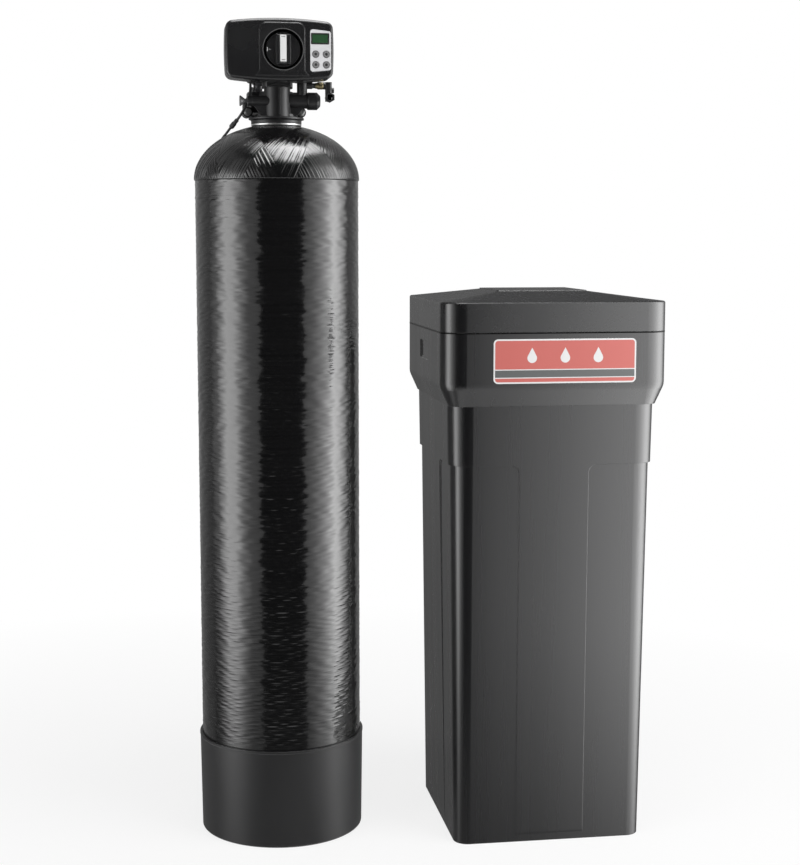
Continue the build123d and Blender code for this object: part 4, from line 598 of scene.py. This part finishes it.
# Strand coordinates for the fine lines: across the tape on top, and along it
def strandMap(mesh, shape, shownRows, turn, top, perRadian):
    layer = mesh.uv_layers.new(name="strands")
    columns = shape["segments"]
    values = np.zeros((len(mesh.loops), 2))
    corners = ((0, 0), (0, 1), (1, 1), (1, 0))
    for row in range(shownRows - 1):
        family = top[row] > 0.5
        side = np.where(family, 1.0, -1.0)
        start = row * columns * 4
        for corner, (up, across) in enumerate(corners):
            angle = (np.arange(columns) + across) / columns * 2 * math.pi
            values[start + corner:start + columns * 4:4, 0] = (angle + side * turn[row + up]) * perRadian
            values[start + corner:start + columns * 4:4, 1] = (turn[row + up] * shape["alongScale"]
                                                               + side * shape["alongShift"])
    layer.data.foreach_set("uv", values.ravel())


# Resin over strands: fine lines from a stretched noise, in place or along the dome's tapes
def resinFinish(name, values):
    material = bpy.data.materials.new(name)
    material.use_nodes = True
    tree = material.node_tree
    shader = tree.nodes["Principled BSDF"]
    point = tree.nodes.new("ShaderNodeUVMap" if values["mapped"] else "ShaderNodeTexCoord")
    if values["mapped"]:
        point.uv_map = "strands"
    source = point.outputs["UV" if values["mapped"] else "Object"]
    scaled = tree.nodes.new("ShaderNodeVectorMath")
    scaled.operation = "MULTIPLY"
    scaled.inputs[1].default_value = values["stretch"]
    tree.links.new(source, scaled.inputs[0])
    lines = addNode(tree, "ShaderNodeTexNoise", Scale=1.0, Detail=resinLines["detail"],
                    Roughness=resinLines["roughness"])
    tree.links.new(scaled.outputs[0], lines.inputs["Vector"])
    bump = tree.nodes.new("ShaderNodeBump")
    bump.inputs["Distance"].default_value = values["depth"]
    tree.links.new(lines.outputs[0], bump.inputs["Height"])
    tree.links.new(bump.outputs[0], shader.inputs["Normal"])
    base = mixColours(tree, mapRange(tree, lines.outputs[0], noiseRange, (0, 1)), values["colour"],
                      values["second"])
    tree.links.new(base, shader.inputs["Base Color"])
    tree.links.new(mapRange(tree, lines.outputs[0], noiseRange, values["gloss"]), shader.inputs["Roughness"])
    shader.inputs["Coat Weight"].default_value = resinLines["coat"]
    shader.inputs["Coat Roughness"].default_value = resinLines["coatGloss"]
    return material


resinLines = {"detail": 3, "roughness": 0.65, "coat": 0.45, "coatGloss": 0.05}
resinBlack = {"colour": (0.003, 0.003, 0.0032), "second": (0.006, 0.006, 0.0062)}
resinLooks = {
    "hoopResin": {**resinBlack, "mapped": False, "stretch": (6, 6, 700), "depth": 0.00012,
                  "gloss": (0.1, 0.2)},
    "domeResin": {**resinBlack, "mapped": True, "stretch": (3.2, 0.5, 1), "depth": 0.0003,
                  "gloss": (0.08, 0.18)},
}
for finishName, finishValues in resinLooks.items():
    materials[finishName] = resinFinish(finishName, finishValues)
sidePiece = buildHoopSide(hoops, materials["hoopResin"])
domePiece = buildDome(dome, materials["domeResin"])
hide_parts("tank_winding")
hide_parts("tank_winding")

# Bright rim of the neck insert, the line seen under the adapter's flange
neckRim = {"outer": 39.55, "inner": 38.4, "low": 1131.7, "high": 1133.8, "segments": 96}


def buildNeckRim(shape):
    angles = np.arange(shape["segments"]) / shape["segments"] * 2 * math.pi
    radii = np.array([shape["outer"], shape["outer"], shape["inner"], shape["inner"]])
    heights = np.array([shape["low"], shape["high"], shape["high"], shape["low"]])
    meshPiece("neckRim", turnedPoints(np.repeat(radii[:, None], len(angles), axis=1), heights, angles),
              gridFaces(4, len(angles), True), materials["screwSteel"], "root", smooth=False)


buildNeckRim(neckRim)
print("stage: tank wound")


# Flat pieces that face the front: an outline in x and z, a front y and a thickness, all in mm
def roundedOutline(centre, width, height, corner, steps=8):
    points = []
    for side, (signX, signZ) in enumerate(((1, 1), (-1, 1), (-1, -1), (1, -1))):
        for step in range(steps + 1):
            angle = math.pi / 2 * (side + step / steps)
            points.append((centre[0] + signX * (width / 2 - corner) + corner * math.cos(angle),
                           centre[1] + signZ * (height / 2 - corner) + corner * math.sin(angle)))
    return points


def roundOutline(centre, radius, steps=48):
    return [(centre[0] + radius * math.cos(2 * math.pi * step / steps),
             centre[1] + radius * math.sin(2 * math.pi * step / steps)) for step in range(steps)]


def slabPiece(name, outline, frontY, thickness, material, body):
    count = len(outline)
    front = [(x * mm, frontY * mm, z * mm) for x, z in outline]
    back = [(x * mm, (frontY + thickness) * mm, z * mm) for x, z in outline]
    faces = [tuple(range(count)), tuple(reversed(range(count, 2 * count)))]
    faces += [(i, i + count, (i + 1) % count + count, (i + 1) % count) for i in range(count)]
    return meshPiece(name, front + back, faces, material, body, smooth=False)


def ringPiece(name, outer, inner, frontY, thickness, material, body):
    count = len(outer)
    rings = [(outer, frontY), (inner, frontY), (inner, frontY + thickness), (outer, frontY + thickness)]
    points = [(x * mm, y * mm, z * mm) for outline, y in rings for x, z in outline]
    faces = []
    for ring in range(4):
        here, there = ring * count, (ring + 1) % 4 * count
        faces += [(here + i, here + (i + 1) % count, there + (i + 1) % count, there + i)
                  for i in range(count)]
    return meshPiece(name, points, faces, material, body, smooth=False)


# Finishes for print, and for two pieces of painted light: the black strip of painted shade under the brine
# lid, and the pale ring of painted highlight round the dial's recess
printAndPaintedLightFinishes = {
    "printRed": {"colour": (0.46, 0.115, 0.1), "second": (0.47, 0.12, 0.105)},
    "printWhite": {"colour": (0.64, 0.64, 0.64), "second": (0.66, 0.66, 0.66)},
    "insertWhite": {"colour": (0.6, 0.6, 0.6), "second": (0.63, 0.63, 0.63)},
    # painted highlight: pale grey for the ring that stands in for the light caught on the dial recess's edge
    "rimHighlightGrey": {"colour": (0.07, 0.07, 0.07), "second": (0.09, 0.09, 0.09)},
    "ringGrey": {"colour": (0.27, 0.27, 0.27), "second": (0.31, 0.31, 0.31)},
    "printGrey": {"colour": (0.088, 0.092, 0.092), "second": (0.094, 0.098, 0.098)},
    "printPale": {"colour": (0.6, 0.6, 0.6), "second": (0.64, 0.64, 0.64)},
    "printDark": {"colour": (0.015, 0.015, 0.015), "second": (0.02, 0.02, 0.02)},
    # painted shade: near black with almost no gloss, for the strip that stands in for the shade under the
    # lid's edge
    "seamShadowBlack": {"colour": (0.002, 0.002, 0.002), "second": (0.002, 0.002, 0.002), "specular": 0.05},
}
for finishName, finishValues in printAndPaintedLightFinishes.items():
    sheen = {"gloss": (0.3, 0.3), "wear": 0.0, "dust": 0.0, "edge": 0.0001, "depth": 0.00001, "size": 2500}
    materials[finishName] = makeFinish(finishName, {**sheen, **finishValues})

# Sticker on the collar: a plain rounded label with a band and three drops, in a layout of its own.
# Each layer stands a little further forward than the one under it.
label = {"centre": (424, 770), "width": 224, "height": 68, "corner": 7, "front": -186.35, "keyline": 2.4,
         "bandDrop": 19, "bandHeight": 11, "bandCorner": 0.3, "lineHeight": 1.4, "dropRise": 5,
         "dropStep": 52, "dropRadius": 7.5, "dropTip": 16, "dropSteps": 24, "layer": 0.05, "backing": 0.3,
         "film": 0.2}


# Outline of a drop: an arc round its belly and a point above
def dropOutline(centre, radius, tip, steps):
    side = math.asin(radius / tip)
    arc = [side - step / steps * (math.pi + 2 * side) for step in range(steps + 1)]
    return [(centre[0] + radius * math.cos(angle), centre[1] + radius * math.sin(angle)) for angle in arc] + [
        (centre[0], centre[1] + tip)]


def buildLabel(shape):
    x, z = shape["centre"]
    backing = roundedOutline((x, z), shape["width"], shape["height"], shape["corner"])
    fieldWidth = shape["width"] - 2 * shape["keyline"]
    fieldHeight = shape["height"] - 2 * shape["keyline"]
    field = roundedOutline((x, z), fieldWidth, fieldHeight, shape["corner"] - shape["keyline"])
    bandEdge, band = (
        roundedOutline((x, z - shape["bandDrop"]), fieldWidth, height, shape["bandCorner"])
        for height in (shape["bandHeight"] + 2 * shape["lineHeight"], shape["bandHeight"])
    )
    layers = [
        ("labelBacking", backing, 0, "printWhite"),
        ("labelField", field, 1, "printRed"),
        ("labelBandEdge", bandEdge, 2, "printWhite"),
        ("labelBand", band, 3, "printGrey"),
    ]
    for column in (-1, 0, 1):
        centre = (x + column * shape["dropStep"], z + shape["dropRise"])
        drop = dropOutline(centre, shape["dropRadius"], shape["dropTip"], shape["dropSteps"])
        layers.append((f"labelDrop{column + 2}", drop[::-1], 2, "printWhite"))
    for name, outline, level, finish in layers:
        slabPiece(name, outline, shape["front"] - level * shape["layer"],
                  shape["film"] if level else shape["backing"], materials[finish], "root")


buildLabel(label)

# Painted shadow: a dark line round the brine tank, just under the lid's edge, a black strip that stands in
# for the shade where the lid meets the tank
seam = {"centre": (413, -8), "width": 356.5, "corner": 36.2, "low": 811.9, "high": 813.9, "thickness": 1.2}


def buildSeamShadow(shape):
    inner = shape["width"] - 2 * shape["thickness"]
    corner = shape["corner"] - shape["thickness"]
    wide = roundedOutline(shape["centre"], shape["width"], shape["width"], shape["corner"])
    narrow = roundedOutline(shape["centre"], inner, inner, corner)
    rings = [(wide, shape["low"]), (wide, shape["high"]), (narrow, shape["high"]), (narrow, shape["low"])]
    points = [(x * mm, y * mm, z * mm) for outline, z in rings for x, y in outline]
    meshPiece("lidSeamShadow", points, gridFaces(4, len(wide), True), materials["seamShadowBlack"], "root",
              smooth=False)


buildSeamShadow(seam)

# Dial insert with its pale window and plain marks, the pointer on the disc, and the rim of the cover's
# recess, a pale grey ring that is a painted highlight of the recess's edge
dial = {"x": 4.7, "z": 1241, "insertLift": 1.5, "front": -87.5, "insert": (9.6, 39.8), "window": (5.8, 24),
        "corner": 0.9, "windowCorner": 0.4, "thickness": 0.4, "film": 0.2, "filmLift": 0.05,
        "mark": (1.1, 1.6, 0.2), "markStep": 2, "markDrop": 17.2,
        "disc": -81.5, "pointerLift": 0.25, "tickReach": 24, "tick": (0.8, 6, 0.3), "arrow": (1.6, 6.5, 1.3),
        "rimOuter": 31.4, "rimInner": 30.3, "rimFront": -85.35, "rimThickness": 0.6, "rimSteps": 96}


def buildDial(shape):
    centre = (shape["x"], shape["z"] + shape["insertLift"])
    filmFront = shape["front"] - shape["filmLift"]
    slabPiece("dialInsert", roundedOutline(centre, *shape["insert"], shape["corner"]), shape["front"],
              shape["thickness"], materials["insertWhite"], "dial")
    slabPiece("dialWindow", roundedOutline(centre, *shape["window"], shape["windowCorner"]), filmFront,
              shape["film"], materials["printPale"], "dial")
    for side, end in ((1, "Top"), (-1, "Low")):
        for column in (-1, 0, 1):
            mark = (centre[0] + column * shape["markStep"], centre[1] + side * shape["markDrop"])
            slabPiece(f"dialMark{end}{column + 2}", roundedOutline(mark, *shape["mark"]), filmFront,
                      shape["film"], materials["printDark"], "dial")
    middle, steps = (shape["x"], shape["z"]), shape["rimSteps"]
    # painted highlight: a pale grey ring round the recess, in place of the light that its narrow chamfer
    # catches
    ringPiece("recessRimHighlight", roundOutline(middle, shape["rimOuter"], steps),
              roundOutline(middle, shape["rimInner"], steps), shape["rimFront"], shape["rimThickness"],
              materials["rimHighlightGrey"], "cover")
    edge, pointerFront = shape["x"] - shape["tickReach"], shape["disc"] - shape["pointerLift"]
    slabPiece("dialTick", roundedOutline((edge, shape["z"]), *shape["tick"]), pointerFront,
              shape["thickness"], materials["printPale"], "dial")
    near, far, half = shape["arrow"]
    arrow = [(edge + near, shape["z"] + half), (edge + near, shape["z"] - half), (edge + far, shape["z"])]
    slabPiece("dialArrow", arrow, pointerFront, shape["thickness"], materials["knobGrey"], "dial")


buildDial(dial)

# Keypad trim: a dark frame round the display, and a ring and dot on each key
keypad = {"display": (61, 1257.7), "frame": (27.8, 16.8, 0.9), "open": (23.6, 12.6, 0.4), "front": -84.5,
          "frameThickness": 0.35, "key": -85.12, "keyThickness": 0.3, "ringOuter": 3.5, "ringInner": 3.0,
          "dot": 1.7, "keys": [(54.2, 1234.6), (70.4, 1234.6), (54.2, 1218.8), (70.4, 1218.8)]}


def buildKeypad(shape):
    ringPiece("displayFrame", roundedOutline(shape["display"], *shape["frame"]),
              roundedOutline(shape["display"], *shape["open"]), shape["front"], shape["frameThickness"],
              materials["printDark"], "cover")
    for number, centre in enumerate(shape["keys"], start=1):
        ringPiece(f"keyRing{number}", roundOutline(centre, shape["ringOuter"]),
                  roundOutline(centre, shape["ringInner"]), shape["key"], shape["keyThickness"],
                  materials["ringGrey"], f"button_{number}")
        slabPiece(f"keyDot{number}", roundOutline(centre, shape["dot"]), shape["key"], shape["keyThickness"],
                  materials["printDark"], f"button_{number}")


buildKeypad(keypad)
print("stage: label, dial and keypad trimmed")

# Studio: lamps for the plain light, and panels that only reflections see
lamps = {
    "lampRight": {"place": (1.7, -1.3, 1.1), "aim": (0.2, 0, 0.65), "size": (1.6, 2.2), "power": 34},
    "lampLeft": {"place": (-1.8, -1.2, 1.1), "aim": (0.1, 0, 0.65), "size": (1.3, 2.2), "power": 20},
    "lampTop": {"place": (0.25, -0.7, 2.7), "aim": (0.25, 0, 0.8), "size": (1.6, 1.2), "power": 22},
}
# Across and up: places from 0 to 1 on the panel, each with its share of the strength
panels = {
    "panelRight": {
        "corner": (0.375, -0.676, -0.8), "acrossEdge": (1.5, 1.32, 0), "upEdge": (0, 0, 3.1), "strength": 7,
        "across": [(0, 0.1), (0.08, 0.17), (0.17, 0.37), (0.23, 0.55), (0.33, 1), (0.45, 0.7), (0.56, 0.4),
                   (0.8, 0.13), (1, 0.05)],
        "up": [(0, 0.05), (0.16, 0.2), (0.34, 1), (0.7, 1), (0.76, 0.3), (1, 0.25)],
    },
    "panelLeft": {
        "corner": (-0.44, -0.79, -0.8), "acrossEdge": (-1.6, 1.62, 0), "upEdge": (0, 0, 3.1), "strength": 4.6,
        "across": [(0, 0.13), (0.1, 0.17), (0.17, 0.4), (0.25, 0.95), (0.36, 1), (0.46, 0.55), (0.6, 0.18),
                   (1, 0.06)],
        "up": [(0, 0.05), (0.16, 0.2), (0.34, 1), (0.64, 1), (0.7, 0.2), (1, 0.15)],
    },
    "panelTop": {
        "corner": (-0.4, -1.2, 2.4), "acrossEdge": (1.6, 0, 0), "upEdge": (0, 1.7, 0), "strength": 12,
        "across": [(0, 0.1), (0.2, 0.8), (0.45, 1), (0.8, 0.7), (1, 0.1)],
        "up": [(0, 0.1), (0.2, 1), (0.75, 1), (1, 0.2)],
    },
}
# The floor's half size, and how its paint turns white between two distances from the origin. Then what gloss
# sees of the surround: from in front to behind, dimmer low down, and bright straight below, by ray direction.
studio = {
    "floorSize": 8, "floorColour": (0.86, 0.86, 0.86), "floorRoughness": 0.8, "floorWhite": 0.8,
    "floorFade": (0.4, 1.6), "floorGloss": 0.4, "ambient": 0.32,
    "glossDepth": (0.02, 0.34), "depthRange": (-0.1, 0.45), "glossDim": (0.45, 1), "dimRange": (-0.32, 0.02),
    "glossBelow": (0, 1), "belowRange": (-0.38, -0.65),
}


def makeLamps(values):
    for name, lamp in values.items():
        data = bpy.data.lights.new(name, "AREA")
        data.shape, data.size, data.size_y = "RECTANGLE", *lamp["size"]
        data.energy = lamp["power"]
        lampObject = bpy.data.objects.new(name, data)
        bpy.context.scene.collection.objects.link(lampObject)
        lampObject.location = lamp["place"]
        aim = Vector(lamp["aim"]) - Vector(lamp["place"])
        lampObject.rotation_euler = aim.to_track_quat("-Z", "Y").to_euler()
        lampObject.visible_glossy = False


def shareAlong(tree, value, stops):
    ramp = tree.nodes.new("ShaderNodeValToRGB")
    tree.links.new(value, ramp.inputs[0])
    elements = ramp.color_ramp.elements
    for element, (place, share) in zip(elements, (stops[0], stops[-1])):
        element.position, element.color = place, (share, share, share, 1)
    for place, share in stops[1:-1]:
        elements.new(place).color = (share, share, share, 1)
    return ramp.outputs[0]


def makePanel(name, panel):
    corner, across, up = (Vector(panel[part]) for part in ("corner", "acrossEdge", "upEdge"))
    mesh = bpy.data.meshes.new(name)
    mesh.from_pydata([corner, corner + across, corner + across + up, corner + up], [], [(0, 1, 2, 3)])
    mesh.uv_layers.new(name="panel").data.foreach_set("uv", [0, 0, 1, 0, 1, 1, 0, 1])
    material = bpy.data.materials.new(name)
    material.use_nodes = True
    material.cycles.emission_sampling = "NONE"
    tree = material.node_tree
    glow = tree.nodes.new("ShaderNodeEmission")
    split = tree.nodes.new("ShaderNodeSeparateXYZ")
    tree.links.new(tree.nodes.new("ShaderNodeUVMap").outputs[0], split.inputs[0])
    share = addMath(tree, "MULTIPLY", shareAlong(tree, split.outputs[0], panel["across"]),
                    shareAlong(tree, split.outputs[1], panel["up"]))
    tree.links.new(addMath(tree, "MULTIPLY", share, panel["strength"]), glow.inputs["Strength"])
    tree.links.new(glow.outputs[0], tree.nodes["Material Output"].inputs["Surface"])
    mesh.materials.append(material)
    piece = bpy.data.objects.new(name, mesh)
    bpy.context.scene.collection.objects.link(piece)
    piece.visible_camera = piece.visible_diffuse = piece.visible_transmission = piece.visible_shadow = False


# The floor is nearly white to the camera, keeps a soft shadow, and shows in gloss only close to the object
def makeFloor(values):
    half = values["floorSize"]
    mesh = bpy.data.meshes.new("floor")
    corners = [(-half, -half, 0), (half, -half, 0), (half, half, 0), (-half, half, 0)]
    mesh.from_pydata(corners, [], [(0, 1, 2, 3)])
    floor = bpy.data.objects.new("floor", mesh)
    bpy.context.scene.collection.objects.link(floor)
    material = bpy.data.materials.new("floorPaint")
    material.use_nodes = True
    tree = material.node_tree
    shader = tree.nodes["Principled BSDF"]
    shader.inputs["Base Color"].default_value = (*values["floorColour"], 1)
    shader.inputs["Roughness"].default_value = values["floorRoughness"]
    white = addNode(tree, "ShaderNodeEmission", Color=(1, 1, 1, 1), Strength=1.0)
    clear = tree.nodes.new("ShaderNodeBsdfTransparent")
    point = tree.nodes.new("ShaderNodeTexCoord")
    reach = tree.nodes.new("ShaderNodeVectorMath")
    reach.operation = "LENGTH"
    tree.links.new(point.outputs["Object"], reach.inputs[0])
    far = mapRange(tree, reach.outputs["Value"], values["floorFade"], (values["floorWhite"], 1))
    rays = tree.nodes.new("ShaderNodeLightPath")
    painted = tree.nodes.new("ShaderNodeMixShader")
    tree.links.new(addMath(tree, "MULTIPLY", far, rays.outputs["Is Camera Ray"]), painted.inputs[0])
    tree.links.new(shader.outputs[0], painted.inputs[1])
    tree.links.new(white.outputs[0], painted.inputs[2])
    near = addMath(tree, "MULTIPLY", addMath(tree, "SUBTRACT", 1.0, far), values["floorGloss"])
    missing = addMath(tree, "MULTIPLY", addMath(tree, "SUBTRACT", 1.0, near), rays.outputs["Is Glossy Ray"])
    shown = tree.nodes.new("ShaderNodeMixShader")
    tree.links.new(missing, shown.inputs[0])
    tree.links.new(painted.outputs[0], shown.inputs[1])
    tree.links.new(clear.outputs[0], shown.inputs[2])
    tree.links.new(shown.outputs[0], tree.nodes["Material Output"].inputs["Surface"])
    mesh.materials.append(material)


def makeWorld(values):
    world = bpy.data.worlds.new("surround")
    bpy.context.scene.world = world
    world.use_nodes = True
    world.cycles.sampling_method = "NONE"
    tree = world.node_tree
    background = tree.nodes["Background"]
    background.inputs["Color"].default_value = (1, 1, 1, 1)
    rays = tree.nodes.new("ShaderNodeLightPath")
    point = tree.nodes.new("ShaderNodeTexCoord")
    split = tree.nodes.new("ShaderNodeSeparateXYZ")
    tree.links.new(point.outputs["Generated"], split.inputs[0])
    behind = mapRange(tree, split.outputs[1], values["depthRange"], values["glossDepth"])
    dimmed = mapRange(tree, split.outputs[2], values["dimRange"], values["glossDim"])
    below = mapRange(tree, split.outputs[2], values["belowRange"], values["glossBelow"])
    reflected = addMath(tree, "MAXIMUM", addMath(tree, "MULTIPLY", behind, dimmed), below)
    gloss = addMath(tree, "MAXIMUM", rays.outputs["Is Glossy Ray"], rays.outputs["Is Transmission Ray"])
    plain = addMath(tree, "SUBTRACT", 1.0, addMath(tree, "MAXIMUM", gloss, rays.outputs["Is Camera Ray"]))
    strength = addMath(tree, "ADD", addMath(tree, "MULTIPLY", gloss, reflected),
                       rays.outputs["Is Camera Ray"])
    strength = addMath(tree, "ADD", strength, addMath(tree, "MULTIPLY", plain, values["ambient"]))
    tree.links.new(strength, background.inputs["Strength"])


makeLamps(lamps)
for panelName, panelValues in panels.items():
    makePanel(panelName, panelValues)
makeFloor(studio)
makeWorld(studio)
for nodeName in ("brine_tank", "brine_lid"):
    nodes[nodeName].visible_glossy = False  # the two tanks show no image of each other
bpy.context.scene.view_settings.view_transform = "Standard"
print("stage: studio lit")
